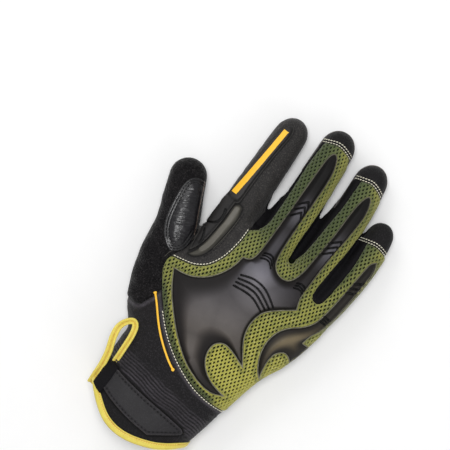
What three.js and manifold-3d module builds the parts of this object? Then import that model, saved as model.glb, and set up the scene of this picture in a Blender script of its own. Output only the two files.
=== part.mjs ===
// A right-hand mechanic's glove lying palm down, sewn from separate panels around an open hollow.
// Millimetres, +Z up, fingers towards +Y, thumb towards -X.
//
// The pattern is drawn in plan, seen from above the back of the hand. Tubes with rounded ends give
// the outer and the inner form of the glove, their difference is the cloth wall, and each panel is
// the stretch of that wall inside its seam. Moulded guards lie on the cloth.

import * as THREE from 'three';
import { mergeVertices } from 'three/addons/utils/BufferGeometryUtils.js';
import Module from 'manifold-3d';

const wasm = await Module();
wasm.setup();

// Driving dimensions
const wall = 2; // cloth wall
const seamGap = 0.3; // clearance between two sewn panels, and under a guard
const patchThickness = 0.7; // leather sewn on over the palm
const backSeamHeight = 11; // the back panels end this high above the floor
const gussetFoot = 5.5; // the strips between the fingers reach down to here
const sideGuardFoot = 17; // the guards on the glove's two sides reach down to here
const guardSkirt = 1.5; // how far a moulded guard's edge stands off the cloth
const guardCrown = 3; // and its middle
const crownInset = 1.8; // from a guard's edge to its raised middle
const grooveWidth = 0.9;
const bindingWidth = 4.5;
const bindingProud = 0.6; // the binding stands off the cloth on both faces
const tapeWidth = 5; // of the pull loop
const tapeThickness = 2;
const mirrorHeight = 100; // taller than the glove: prisms that cut right through use it
const floor = patchThickness + seamGap; // the cloth's own lowest face

// Sections of the hand, from beyond the cuff to the roots of the fingers. lean shears a section
// forwards on the thumb's side, so that the tube ends along the slanting line of the knuckles.
const handSections = [
  { y: -138, x: -17.6, z: 22, halfWidth: 37.5, halfHeight: 22, lean: 0 },
  { y: -112, x: -17.7, z: 21, halfWidth: 38.8, halfHeight: 21.5, lean: 0 },
  { y: -84, x: -14.6, z: 19, halfWidth: 41.8, halfHeight: 19.5, lean: 0 },
  { y: -55, x: -11, z: 18, halfWidth: 45, halfHeight: 18.3, lean: 0 },
  { y: -30, x: -8.5, z: 17.8, halfWidth: 51, halfHeight: 18.3, lean: 0 },
  { y: -8, x: -3.5, z: 17.3, halfWidth: 53.5, halfHeight: 17.8, lean: -0.06 },
  { y: 10, x: 0.5, z: 16.5, halfWidth: 54, halfHeight: 16.8, lean: -0.12 },
  { y: 20, x: 1.8, z: 15, halfWidth: 53.5, halfHeight: 14.8, lean: -0.15 },
];
const handTube = { sections: handSections, dome: 10, exponent: 2.6, sides: 20, rings: 8, insideSides: 16, insideRings: 6 };

// Sections of the digits, from inside the hand to where the rounded tip begins
const digitTubes = {
  index: { dome: 13, sections: [
    { y: -4, x: -38.5, z: 16, halfWidth: 12.6, halfHeight: 12.5 },
    { y: 32, x: -39.6, z: 15.8, halfWidth: 13, halfHeight: 12.6 },
    { y: 60, x: -39.8, z: 15.6, halfWidth: 12.6, halfHeight: 11.8 },
    { y: 84, x: -40, z: 13.8, halfWidth: 12, halfHeight: 10.9 },
    { y: 98, x: -40, z: 12, halfWidth: 11.3, halfHeight: 10.2 },
  ] },
  middle: { dome: 13, sections: [
    { y: -4, x: -7.5, z: 17, halfWidth: 12.8, halfHeight: 13 },
    { y: 32, x: -7, z: 16.8, halfWidth: 13.1, halfHeight: 12.9 },
    { y: 62, x: -7.2, z: 16.4, halfWidth: 12.8, halfHeight: 12 },
    { y: 90, x: -8, z: 14.2, halfWidth: 12.2, halfHeight: 11 },
    { y: 108, x: -8.8, z: 12, halfWidth: 11.5, halfHeight: 10.3 },
  ] },
  ring: { dome: 13, sections: [
    { y: -4, x: 22.5, z: 16, halfWidth: 12.4, halfHeight: 12.5 },
    { y: 28, x: 24.2, z: 16, halfWidth: 12.8, halfHeight: 12.4 },
    { y: 57, x: 24.8, z: 15.7, halfWidth: 12.6, halfHeight: 11.7 },
    { y: 84, x: 24.4, z: 13.6, halfWidth: 12, halfHeight: 10.7 },
    { y: 102, x: 23, z: 11.8, halfWidth: 11, halfHeight: 10 },
  ] },
  little: { dome: 11, sections: [
    { y: -34, x: 33.5, z: 15, halfWidth: 9, halfHeight: 11 },
    { y: -8, x: 40.2, z: 14.8, halfWidth: 10.2, halfHeight: 11.3 },
    { y: 18, x: 45.7, z: 14.4, halfWidth: 10.7, halfHeight: 11.3 },
    { y: 44, x: 49.4, z: 13.7, halfWidth: 10.4, halfHeight: 10.6 },
    { y: 63, x: 50.2, z: 12, halfWidth: 10, halfHeight: 9.7 },
    { y: 76, x: 49.3, z: 10.8, halfWidth: 9.4, halfHeight: 9 },
  ] },
  thumb: { dome: 13, sections: [
    { y: -66, x: -36, z: 17, halfWidth: 17, halfHeight: 15.5 },
    { y: -42, x: -52, z: 16.5, halfWidth: 19.5, halfHeight: 15.5 },
    { y: -16, x: -62.5, z: 16, halfWidth: 18, halfHeight: 15 },
    { y: 6, x: -68.5, z: 15.5, halfWidth: 15, halfHeight: 14 },
    { y: 23, x: -75.5, z: 14.5, halfWidth: 13.8, halfHeight: 13 },
    { y: 37, x: -81, z: 13, halfWidth: 12.8, halfHeight: 11.8 },
  ] },
};
const digitDefaults = { exponent: 2.25, sides: 12, rings: 4, insideSides: 10, insideRings: 4 };

// Elastic ribs across the cuff: all down the palm side, and above the label on the back
const ribs = { first: -80, pitch: 7.4, height: 1.2, count: 4, countOnBack: 2 };

// Seams and edges in plan. Each inner list is one smooth curve through its x, y points, and two
// such curves meet in a corner.
const knuckleGuardEdge = [
  [[-54.5, -18], [-45, -33], [-35, -45], [-25, -55], [-12, -65], [2, -71.2], [14, -72.8], [24.5, -69.5]],
  [[24.5, -69.5], [12, -66.5], [3, -61], [-1.8, -53.5], [-2, -45.5], [3, -41.2], [11, -42.5], [23.5, -47.8]],
  [[23.5, -47.8], [17.5, -39], [12, -29.5], [10.2, -20], [12.3, -10.5], [18.5, -3.8], [30.5, 4.8]],
  [[30.5, 4.8], [28, 12], [28, 22], [28.7, 40], [31, 64], [32, 82], [30, 92.5], [27, 95.6],
    [24.3, 91], [22.8, 80], [22, 60], [20.3, 40], [18.8, 27], [15.5, 19.5], [10, 17], [4, 19.3],
    [0.3, 26], [-0.8, 40], [-1, 65], [-1.6, 90], [-4.5, 102.5], [-8.3, 106], [-11, 101],
    [-11.6, 85], [-11.7, 55], [-12.3, 28], [-14.5, 16.5], [-20, 13.9]],
  [[-20, 13.9], [-21.6, 6], [-25.5, -2.5], [-31.5, -10], [-40, -15.6], [-48, -17.6], [-54.5, -18]],
];
const sideGuardEdge = [
  [[56.5, 62.6], [53.2, 58.5], [51.6, 48], [49.9, 32], [47.3, 14], [44.6, 5], [39.5, -1.5],
    [32, -7.6], [27, -15], [25.1, -25], [27.2, -35.5], [32, -44], [36.3, -48]],
  [[36.3, -48], [34.6, -42], [33.8, -34], [35, -27.5], [39, -23.6], [43, -24.2], [46.5, -27.5]],
  [[46.5, -27.5], [49.5, -19], [51.5, -10.5]],
  [[51.5, -10.5], [46.3, -10.5]],
  [[46.3, -10.5], [47.8, -4.5], [51, 1.5], [53.4, 8], [55, 16], [57, 30], [58.5, 44], [58.6, 55],
    [56.5, 62.6]],
];
const indexGuardEdge = [
  [[-44.5, 40.4], [-42.2, 43], [-42, 60], [-41, 80], [-39.4, 97], [-40, 102.5], [-42.8, 105], [-45.8, 103],
    [-47.8, 96], [-49.6, 75], [-50.8, 52], [-53, 36], [-53.6, 20], [-53, 6], [-51.6, -3.2]],
  [[-51.6, -3.2], [-48.4, 2.4], [-46.2, 10], [-44.9, 22], [-44.5, 40.4]],
];
const indexClawEdge = [
  [[-43.6, 39.8], [-41, 40.8], [-38.4, 39.6]],
  [[-38.4, 39.6], [-38, 28], [-38.8, 12], [-41.2, 2.6], [-45, -2.2], [-51, -5.2]],
  [[-51, -5.2], [-47.4, 1], [-45.4, 9], [-44, 22], [-43.6, 39.8]],
];
const labelEdge = [
  [[-50.5, -93.5], [-38, -96.2], [-20, -99], [0, -101.2], [11.5, -103]],
  [[11.5, -103], [14.2, -105], [12.4, -107.8]],
  [[12.4, -107.8], [-4.5, -118.6]],
  [[-4.5, -118.6], [-20, -117], [-36, -113.5], [-50.5, -108.5]],
  [[-50.5, -108.5], [-50.5, -93.5]],
];
const meshSeam = [
  [[-60.6, -16.5], [-58.8, -24], [-52, -34.5], [-42, -46.5], [-30, -58], [-16, -67.6], [0, -75],
    [14, -78.2], [30, -78.8], [44, -77]],
  [[44, -77], [72, -20], [72, 66]],
  [[72, 66], [60, 69.6], [51, 72.4], [43.8, 70.4]],
  [[43.8, 70.4], [45, 55], [44.4, 40], [43, 27], [41.6, 19], [38, 16.2], [34.6, 18], [33.3, 24],
    [34.6, 42], [36.3, 60], [37, 82], [35.6, 96], [34, 101.6]],
  [[34, 101.6], [24.6, 104.8], [16.6, 102]],
  [[16.6, 102], [16.3, 80], [15.6, 55], [14, 38], [10, 31.6], [6.2, 36], [6, 55], [5.8, 80],
    [4.2, 100], [1.2, 110.2]],
  [[1.2, 110.2], [-8.8, 113.6], [-19, 110]],
  [[-19, 110], [-24, 100]],
  [[-24, 100], [-24, 38]],
  [[-24, 38], [-19.6, 36]],
  [[-19.6, 36], [-26.4, 31]],
  [[-26.4, 31], [-27.2, 22], [-30.5, 8], [-36, -2], [-43, -7.6], [-51, -10.2], [-59.4, -12.6]],
  [[-59.4, -12.6], [-60.6, -16.5]],
];
const indexSeam = [
  [[-26.4, 31], [-27.2, 22], [-30.5, 8], [-36, -2], [-43, -7.6], [-51, -10.2], [-59.4, -12.6]],
  [[-59.4, -12.6], [-54.4, -4], [-53, 8]],
  [[-53, 8], [-58, 30], [-60, 120]],
  [[-60, 120], [-23.5, 120]],
  [[-23.5, 120], [-23.5, 60], [-26.4, 31]],
];
const thumbSeam = [
  [[-59.4, -12.6], [-54.4, -4], [-53, 8]],
  [[-53, 8], [-60, 60]],
  [[-60, 60], [-110, 60]],
  [[-110, 60], [-110, -52]],
  [[-110, -52], [-64, -53], [-55.5, -46], [-51.5, -35.2]],
  [[-51.5, -35.2], [-58.8, -24], [-60.6, -16.5]],
  [[-60.6, -16.5], [-59.4, -12.6]],
];
const thumbPatchEdge = [
  [[-69.5, 40.2], [-75.5, 39.4], [-79.4, 34.5], [-79.8, 24], [-77.2, 8], [-73, -2], [-67, -8.4],
    [-62, -10.8]],
  [[-62, -10.8], [-58, -7], [-55.4, 0], [-55.2, 8]],
  [[-55.2, 8], [-59.4, 24], [-69.5, 40.2]],
];
const capSeams = {
  middle: [[[-24, 108.5], [-17.6, 110.6], [-8.8, 113.6], [1.2, 110.2], [6, 107.5]]],
  ring: [[[10.5, 99.5], [16.6, 102], [24.6, 104.8], [34, 101.6], [38, 99.4]]],
  little: [[[38.3, 69], [43.8, 70.4], [51, 72.4], [60, 69.6], [64, 68]]],
};
const capReach = 30; // how far beyond its seam a fingertip cap's outline runs
const gussetRooms = {
  index_middle: [[-30, 12], [-13, 12], [-13, 121], [-30, 121]],
  middle_ring: [[-2, 12], [20, 12], [20, 121], [-2, 121]],
  ring_little: [[29, 4], [47, 4], [47, 116], [29, 116]],
};
// The wrist edge of the cloth on the back and on the palm side. Both run alike at the two sides.
const wristSides = {
  thumb: [[[-120, -108], [-57, -110.2]], [[-57, -110.2], [-53.4, -112.6]]],
  little: [[[18.2, -115.6], [22, -112.9]], [[22, -112.9], [90, -100]]],
};
const wristEdges = {
  back: [[-53.4, -112.6], [-45, -120], [-35, -126.6], [-24, -129.6], [-12, -129], [2, -125], [11, -120.6],
    [18.2, -115.6]],
  palm: [[-53.4, -112.6], [-40, -115.4], [-20, -117.6], [2, -117.4], [18.2, -115.6]],
};
const beyondFingers = [[[90, -100], [90, 140]], [[90, 140], [-120, 140]], [[-120, 140], [-120, -108]]];
const cuffPalmSeamY = -80;

// Leather on the palm, in plan as seen from above
const palmPatchEdge = [
  [[-34, 30], [-37, 12], [-34, -12], [-22, -38], [-6, -50], [10, -48]],
  [[10, -48], [20, -38], [26, -14], [28, 6]],
  [[28, 6], [24, 16], [17, 16.5], [11, 9], [4.5, 16], [-4, 20.5], [-12, 18], [-17, 10], [-22, 14],
    [-25, 26], [-29.5, 32.5], [-34, 30]],
];
const tipPads = {
  middle: [[-20, 84.5], [-4.5, 97.5], [5.5, 92], [5.5, 122], [-24, 122]],
  ring: [[12, 76], [27, 88], [38.5, 83], [38.5, 116], [9, 116]],
};
const tipPadReach = 14; // the leather wraps this far up the fingertip

// Grooves cut across the guards: arcs over the knuckles, chevrons on the fingers
const knuckleArcs = [
  [[-14, 3], [-5, 5.5], [5, 4], [15.8, -2.6]],
  [[-14, 0.2], [-5, 2], [3, 1], [14.4, -5]],
  [[-14, -2.6], [-5, -1.2], [2, -2], [12.4, -7]],
  [[-14, -5.4], [-5, -4.6], [2, -5.4], [10.4, -9.4]],
];
const guardChevrons = [
  { foot: [-10.8, 62], apex: [-5, 68.4], heel: [-1.2, 61.5] },
  { foot: [-11, 57.4], apex: [-5, 64.2], heel: [-1.2, 57] },
  { foot: [-11, 52.2], apex: [-5, 60], heel: [-1.2, 52.4] },
  { foot: [23.4, 54.2], apex: [29.3, 59.6], heel: [30.6, 55.6] },
  { foot: [22.6, 49.4], apex: [29.2, 55.4], heel: [30.2, 51.4] },
  { foot: [22, 44.4], apex: [29, 51], heel: [29.8, 46.8] },
];

// The pull loop's tape: out from under the binding, up beside the cuff, round and back
const pullLoopPath = [
  { x: -54, y: -113, z: 27 }, { x: -55.4, y: -106, z: 31 }, { x: -56.4, y: -98, z: 33.6 },
  { x: -58.2, y: -88, z: 34.6 }, { x: -60.8, y: -78, z: 34.6 }, { x: -60.2, y: -69.6, z: 34.6 },
  { x: -57, y: -64.2, z: 34.8 }, { x: -53.4, y: -63, z: 35.2 }, { x: -50.4, y: -67, z: 35.8 },
  { x: -49.4, y: -75, z: 36.2 }, { x: -49, y: -83, z: 35.6 }, { x: -48.6, y: -91, z: 33 },
];

// Materials
const cloth = (color, roughness) => new THREE.MeshStandardMaterial({ color, roughness, metalness: 0 });
const materials = {
  mesh: cloth(0x8d9444, 0.85),
  neoprene: cloth(0x2b292d, 0.75),
  terry: cloth(0x1d1b20, 0.95),
  suede: cloth(0x242426, 0.85),
  leather: cloth(0x17161a, 0.4),
  rubber: cloth(0x3d3836, 0.45),
  paleRubber: cloth(0x8b887c, 0.4),
  greyRubber: cloth(0x55544c, 0.5),
  elastic: cloth(0x222127, 0.9),
  yellow: cloth(0xe9c53e, 0.6),
};

// A closed three.js geometry as a solid that can be joined and cut
function solidOf(geometry) {
  const bare = geometry.clone();
  bare.deleteAttribute('normal');
  bare.deleteAttribute('uv');
  const merged = mergeVertices(bare, 1e-4);
  return new wasm.Manifold(new wasm.Mesh({
    numProp: 3,
    vertProperties: new Float32Array(merged.attributes.position.array),
    triVerts: new Uint32Array(merged.index.array),
  }));
}

const catmullRom = (a, b, c, d, t) => 0.5 * (2 * b + (c - a) * t + (2 * a - 5 * b + 4 * c - d) * t * t
  + (3 * b - a - 3 * c + d) * t * t * t);

// One section between the rows of a table, each column smoothed by itself
function sectionAt(sections, position) {
  const last = sections.length - 1;
  const i = Math.min(Math.floor(position * last), last - 1);
  const t = position * last - i;
  const row = (k) => sections[THREE.MathUtils.clamp(k, 0, last)];
  const section = {};
  for (const column of Object.keys(sections[0])) {
    section[column] = catmullRom(...[i - 1, i, i + 1, i + 2].map((k) => row(k)[column]), t);
  }
  return section;
}

// The height of the cuff's ribs at a place along the hand
function ribHeight(y, count) {
  const along = (ribs.first - y) / ribs.pitch;
  if (along < 0 || along > count) return 0;
  return ribs.height * Math.sin(Math.PI * (along % 1));
}

// Places along a tube at which it gets a ring of points
function ringPlaces(tube, count, ribbed) {
  const places = Array.from({ length: count }, (_, i) => i / (count - 1));
  if (!ribbed) return places;
  const yAt = (p) => sectionAt(tube.sections, p).y;
  const outsideRibs = places.filter((p) => ribHeight(yAt(p), ribs.count) === 0);
  const step = 1 / 400;
  for (let half = 0; half <= 2 * ribs.count; half += 1) {
    const y = ribs.first - half * ribs.pitch / 2;
    let place = 0;
    while (yAt(place) < y) place += step;
    outsideRibs.push(place);
  }
  return outsideRibs.sort((a, b) => a - b);
}

// The direction in plan of the line through a tube's sections
function wayAt(sections, position) {
  const [a, b] = [Math.max(position - 0.02, 0), Math.min(position + 0.02, 1)].map((p) => sectionAt(sections, p));
  return new THREE.Vector2(b.x - a.x, b.y - a.y).normalize();
}

// A tube through a table of sections, flat at its first one and with a rounded far end.
// grow moves its whole surface outwards.
function tubeSolid(tube, grow) {
  const { sections, dome, exponent } = tube;
  const inside = grow < 0;
  const sides = inside ? tube.insideSides : tube.sides;
  const ribbed = tube.ribbed && !inside;
  const rings = ringPlaces(tube, inside ? tube.insideRings : tube.rings, ribbed).map((p) => (
    { ...sectionAt(sections, p), way: wayAt(sections, p), forward: 0, scale: 1 }));
  const end = rings[rings.length - 1];
  for (const angle of [34, 64]) {
    const a = THREE.MathUtils.degToRad(angle);
    rings.push({ ...end, forward: (dome + grow) * Math.sin(a), scale: Math.cos(a) });
  }
  const points = [];
  for (const ring of rings) {
    for (let k = 0; k < sides; k += 1) {
      const a = 2 * Math.PI * k / sides;
      const rib = ribbed ? ribHeight(ring.y, Math.sin(a) > 0.01 ? ribs.countOnBack : ribs.count) : 0;
      const lobe = (v) => Math.sign(v) * Math.abs(v) ** (2 / exponent);
      const across = (ring.halfWidth + grow + rib) * ring.scale * lobe(Math.cos(a));
      const up = (ring.halfHeight + grow + rib) * ring.scale * lobe(Math.sin(a));
      const ahead = ring.forward + (ring.lean ?? 0) * across;
      const { x, y } = ring.way;
      points.push(ring.x + y * across + x * ahead, ring.y - x * across + y * ahead, ring.z + up);
    }
  }
  const count = rings.length;
  const { x: wayX, y: wayY } = end.way;
  points.push(rings[0].x, rings[0].y, rings[0].z);
  points.push(end.x + wayX * (dome + grow), end.y + wayY * (dome + grow), end.z);
  const index = [];
  for (let k = 0; k < sides; k += 1) {
    const n = (k + 1) % sides;
    for (let i = 0; i < count - 1; i += 1) {
      const [a, b, c, d] = [i * sides + k, i * sides + n, (i + 1) * sides + n, (i + 1) * sides + k];
      index.push(a, c, b, a, d, c);
    }
    index.push(count * sides, k, n);
    index.push(count * sides + 1, (count - 1) * sides + n, (count - 1) * sides + k);
  }
  const geometry = new THREE.BufferGeometry();
  geometry.setAttribute('position', new THREE.Float32BufferAttribute(points, 3));
  geometry.setIndex(index);
  return solidOf(geometry);
}

// The whole glove as one closed form, grown outwards or inwards, and flat where it lies on the floor
const forms = new Map();
function gloveForm(grow) {
  if (forms.has(grow)) return forms.get(grow);
  let form = tubeSolid({ ...handTube, ribbed: true }, grow);
  for (const digit of Object.values(digitTubes)) form = form.add(tubeSolid({ ...digitDefaults, ...digit }, grow));
  const side = 400;
  const above = new THREE.BoxGeometry(side, side, side).translate(0, 0, side / 2 + floor - grow);
  form = form.intersect(solidOf(above));
  forms.set(grow, form);
  return form;
}

// The points of an outline whose curves meet in corners, about one step apart
function outlinePoints(curves, step = 6.5) {
  const points = [];
  for (const curve of curves) {
    const spline = new THREE.SplineCurve(curve.map(([x, y]) => new THREE.Vector2(x, y)));
    const count = curve.length === 2 ? 1 : Math.max(curve.length - 1, Math.round(spline.getLength() / step));
    points.push(...spline.getSpacedPoints(count).slice(0, -1));
  }
  return points;
}

// An outline moved outwards by a distance, or inwards where that is negative. Points that come
// nearer than that to another stretch of the outline are left out.
function movedOutline(points, distance) {
  const outwards = THREE.ShapeUtils.isClockWise(points) ? -1 : 1;
  const count = points.length;
  const normals = points.map((p, i) => {
    const way = points[(i + 1) % count].clone().sub(p).normalize();
    return new THREE.Vector2(way.y * outwards, -way.x * outwards);
  });
  const moved = points.map((p, i) => {
    const [n, m] = [normals[(i + count - 1) % count], normals[i]];
    const mitre = Math.min(1 / (1 + n.dot(m)), 1.5);
    return n.clone().add(m).multiplyScalar(mitre * distance).add(p);
  });
  const nearest = (p) => Math.min(...points.map((a, i) => {
    const b = points[(i + 1) % count];
    const line = new THREE.Line3(new THREE.Vector3(a.x, a.y, 0), new THREE.Vector3(b.x, b.y, 0));
    const foot = line.closestPointToPoint(new THREE.Vector3(p.x, p.y, 0), true, new THREE.Vector3());
    return Math.hypot(foot.x - p.x, foot.y - p.y);
  }));
  return moved.filter((p) => nearest(p) > Math.abs(distance) * 0.9);
}

// An upright prism over an outline
function prism(points, low, high) {
  const geometry = new THREE.ExtrudeGeometry(new THREE.Shape(points), { depth: high - low, bevelEnabled: false });
  return solidOf(geometry.translate(0, 0, low));
}

// An upright wall of a given width along a line of points
function ribbonPrism(line, width, low, high) {
  const stretches = line.slice(1).map((end, i) => {
    const way = end.clone().sub(line[i]);
    const middle = end.clone().add(line[i]).divideScalar(2);
    const stretch = new THREE.BoxGeometry(way.length() + width * 0.8, width, high - low);
    return solidOf(stretch.rotateZ(way.angle()).translate(middle.x, middle.y, (low + high) / 2));
  });
  return stretches.reduce((whole, stretch) => whole.add(stretch));
}

const linePoints = (xy, step = 5) => {
  const spline = new THREE.SplineCurve(xy.map(([x, y]) => new THREE.Vector2(x, y)));
  return spline.getSpacedPoints(Math.max(xy.length - 1, Math.round(spline.getLength() / step)));
};

// The biggest of the separate bodies that a cut leaves
function mainBody(solid) {
  return solid.decompose().sort((a, b) => b.volume() - a.volume())[0];
}

// A skin that follows the glove's surface inside a prism, from one height off the cloth to another
function skin(edge, from, to, low, high) {
  return gloveForm(to).subtract(gloveForm(from)).intersect(prism(edge, low, high));
}

const glove = new THREE.Group();
glove.name = 'mechanic_glove';
function addPiece(name, solid, material) {
  const { vertProperties, triVerts } = mainBody(solid).getMesh();
  const geometry = new THREE.BufferGeometry();
  geometry.setAttribute('position', new THREE.BufferAttribute(vertProperties, 3));
  geometry.setIndex(new THREE.BufferAttribute(triVerts, 1));
  const piece = new THREE.Mesh(geometry, material);
  piece.name = name;
  glove.add(piece);
}

// The cloth wall, open at the wrist
const cuffHalfHeight = handSections[1].z;
function inFrontOfWrist(shift) {
  const region = (edge, low, high) => {
    const outline = outlinePoints([...wristSides.thumb, edge, ...wristSides.little, ...beyondFingers], 11);
    return prism(outline.map(({ x, y }) => new THREE.Vector2(x, y + shift)), low, high);
  };
  return region(wristEdges.back, cuffHalfHeight, mirrorHeight)
    .add(region(wristEdges.palm, -mirrorHeight, cuffHalfHeight));
}
let clothLeft = gloveForm(0).subtract(gloveForm(-wall)).intersect(inFrontOfWrist(bindingWidth + seamGap));

// Takes the cloth inside a seam as one panel, and leaves a sewing gap around it
function takePanel(name, seam, low, material) {
  addPiece(name, clothLeft.intersect(prism(seam, low, mirrorHeight)), material);
  clothLeft = clothLeft.subtract(prism(movedOutline(seam, seamGap), low - seamGap, mirrorHeight));
}

// Fingertip caps
for (const [finger, seam] of Object.entries(capSeams)) {
  const line = linePoints(seam[0]);
  const [start, end] = [line[0], line[line.length - 1]];
  const cap = [...line, new THREE.Vector2(end.x, end.y + capReach), new THREE.Vector2(start.x, start.y + capReach)];
  takePanel(`cap_${finger}`, cap, backSeamHeight, materials.neoprene);
}
takePanel('index_back', outlinePoints(indexSeam), backSeamHeight, materials.neoprene);
takePanel('thumb_back', outlinePoints(thumbSeam), backSeamHeight, materials.terry);
takePanel('back_mesh', outlinePoints(meshSeam, 5), backSeamHeight, materials.mesh);
for (const [between, corners] of Object.entries(gussetRooms)) {
  takePanel(`gusset_${between}`, corners.map(([x, y]) => new THREE.Vector2(x, y)), gussetFoot, materials.neoprene);
}
const wristRoom = [[-120, -150], [90, -150], [90, -20], [-120, -20]].map(([x, y]) => new THREE.Vector2(x, y));
takePanel('cuff_back', wristRoom, backSeamHeight, materials.elastic);
const cuffPalmRoom = [[-120, -150], [90, -150], [90, cuffPalmSeamY], [-120, cuffPalmSeamY]]
  .map(([x, y]) => new THREE.Vector2(x, y));
takePanel('cuff_palm', cuffPalmRoom, -mirrorHeight, materials.elastic);
addPiece('palm', clothLeft, materials.suede);

// Yellow binding round the wrist opening
const bindingWall = gloveForm(bindingProud).subtract(gloveForm(-wall - bindingProud));
addPiece('cuff_binding', bindingWall.intersect(inFrontOfWrist(0)).subtract(inFrontOfWrist(bindingWidth)),
  materials.yellow);

// Leather on the palm, the thumb and two fingertips
const lowSide = -mirrorHeight;
addPiece('palm_patch', skin(outlinePoints(palmPatchEdge), seamGap, floor, lowSide, backSeamHeight),
  materials.leather);
for (const [finger, corners] of Object.entries(tipPads)) {
  const edge = corners.map(([x, y]) => new THREE.Vector2(x, y));
  addPiece(`tip_pad_${finger}`, skin(edge, seamGap, floor, lowSide, tipPadReach), materials.leather);
}
addPiece('thumb_patch', skin(outlinePoints(thumbPatchEdge), seamGap, floor + 0.3, 9, mirrorHeight),
  materials.leather);

// A moulded guard: a skirt over the whole outline, a raised crown inside it, and grooves in the crown
function guardSolid(edge, grooves, low) {
  let guard = skin(edge, seamGap, guardSkirt, low, mirrorHeight)
    .add(skin(movedOutline(edge, -crownInset), guardSkirt - 0.4, guardCrown, low, mirrorHeight));
  for (const line of grooves) {
    const cut = ribbonPrism(line, grooveWidth, low, mirrorHeight);
    guard = guard.subtract(cut.subtract(gloveForm(guardSkirt + 0.3)));
  }
  return guard;
}
const chevronLine = ({ foot, apex, heel }) => [foot, apex, heel].map(([x, y]) => new THREE.Vector2(x, y));
addPiece('knuckle_guard', guardSolid(outlinePoints(knuckleGuardEdge),
  [...knuckleArcs.map((xy) => linePoints(xy, 10)), ...guardChevrons.map(chevronLine)], 12), materials.rubber);
addPiece('side_guard', guardSolid(outlinePoints(sideGuardEdge), [], sideGuardFoot), materials.rubber);
addPiece('index_guard', skin(outlinePoints(indexGuardEdge), seamGap, 2.2, sideGuardFoot, mirrorHeight),
  materials.greyRubber);
addPiece('index_claw', skin(outlinePoints(indexClawEdge), seamGap, 2.6, sideGuardFoot, mirrorHeight),
  materials.paleRubber);

// The closing tab's label and the pull loop
addPiece('cuff_label', skin(outlinePoints(labelEdge), seamGap, 1.9, 20, mirrorHeight),
  materials.neoprene);

const loopCurve = new THREE.CatmullRomCurve3(pullLoopPath.map(({ x, y, z }) => new THREE.Vector3(x, y, z)));
const tapeSection = new THREE.Shape();
tapeSection.absellipse(0, 0, tapeWidth / 2, tapeThickness / 2, 0, 2 * Math.PI);
const tape = new THREE.ExtrudeGeometry(tapeSection, { steps: 15, curveSegments: 4, extrudePath: loopCurve });
const roundBinding = gloveForm(bindingProud + seamGap).subtract(inFrontOfWrist(bindingWidth + seamGap));
addPiece('pull_loop', solidOf(tape).subtract(gloveForm(seamGap)).subtract(roundBinding), materials.yellow);

// The frame's origin is under the middle of the glove, on the floor
const box = new THREE.Box3().setFromObject(glove);
glove.position.set(-(box.min.x + box.max.x) / 2, -(box.min.y + box.max.y) / 2, -box.min.z);

export default glove;
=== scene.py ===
# A right-hand mechanic's glove, dressed over its CAD model. Shapes are worked out in millimetres on
# the sewing pattern, seen from above the back of the hand, and moved into the frame piece by piece.
import math
import random

import bmesh
import bpy
import numpy as np
from mathutils import Matrix, Vector, noise
from mathutils.bvhtree import BVHTree
from mathutils.kdtree import KDTree


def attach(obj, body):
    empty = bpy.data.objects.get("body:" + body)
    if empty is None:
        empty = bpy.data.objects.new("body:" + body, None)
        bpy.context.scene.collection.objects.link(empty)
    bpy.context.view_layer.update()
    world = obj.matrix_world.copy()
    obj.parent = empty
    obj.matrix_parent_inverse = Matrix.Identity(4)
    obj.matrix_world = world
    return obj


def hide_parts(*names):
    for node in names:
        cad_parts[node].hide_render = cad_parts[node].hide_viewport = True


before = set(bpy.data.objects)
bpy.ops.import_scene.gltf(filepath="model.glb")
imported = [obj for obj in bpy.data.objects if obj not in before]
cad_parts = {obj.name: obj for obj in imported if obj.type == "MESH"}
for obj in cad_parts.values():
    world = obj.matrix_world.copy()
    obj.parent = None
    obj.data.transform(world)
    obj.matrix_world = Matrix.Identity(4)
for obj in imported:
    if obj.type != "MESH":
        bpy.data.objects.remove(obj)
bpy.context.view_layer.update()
scene = bpy.context.scene
patternShift = Vector((16.6599, 3.7894, 0.0))
toFrame = Matrix.Diagonal((0.001, 0.001, 0.001, 1.0)) @ Matrix.Translation(patternShift)
chance = random.Random(7)


def linked(name, data):
    # a new object in the scene
    made = bpy.data.objects.new(name, data)
    scene.collection.objects.link(made)
    return made


# camera, light and floor
shot = {
    "middle": (-0.0250, 0.0281, 0.020),
    "width": 0.3033,
    "roll": 35.0,
    "lens": 120.0,
    "sensor": 36.0,
    "reach": 20.0,
}
camera = linked("camera", bpy.data.cameras.new("camera"))
camera.data.lens = shot["lens"]
camera.data.sensor_width = shot["sensor"]
camera.data.clip_end = shot["reach"]
cameraHeight = shot["width"] / 2 / (shot["sensor"] / 2 / shot["lens"])
camera.location = Vector(shot["middle"]) + Vector((0, 0, cameraHeight))
camera.rotation_euler = (0, 0, math.radians(shot["roll"]))
scene.camera = camera

studio = {
    "sky": 0.38,
    "lamps": [
        # name, power, size, place, what it looks at
        ("overhead", 11.0, 0.45, (-0.12, 0.10, 1.45), (0.0, 0.0, 0.0)),
        ("window", 3.2, 0.6, (-0.75, 0.55, 0.75), (0.0, 0.0, 0.0)),
        ("bounce", 1.6, 0.8, (0.8, -0.35, 0.55), (0.0, 0.0, 0.0)),
    ],
}
world = bpy.data.worlds.new("studio")
scene.world = world
world.use_nodes = True
sky = world.node_tree.nodes["Background"].inputs
sky["Color"].default_value = (1, 1, 1, 1)
sky["Strength"].default_value = studio["sky"]
for name, power, size, place, target in studio["lamps"]:
    lamp = linked(name, bpy.data.lights.new(name, "AREA"))
    lamp.data.energy = power
    lamp.data.size = size
    lamp.location = place
    lamp.rotation_euler = (Vector(target) - Vector(place)).to_track_quat("-Z", "Y").to_euler()
scene.view_settings.view_transform = "Standard"


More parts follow.
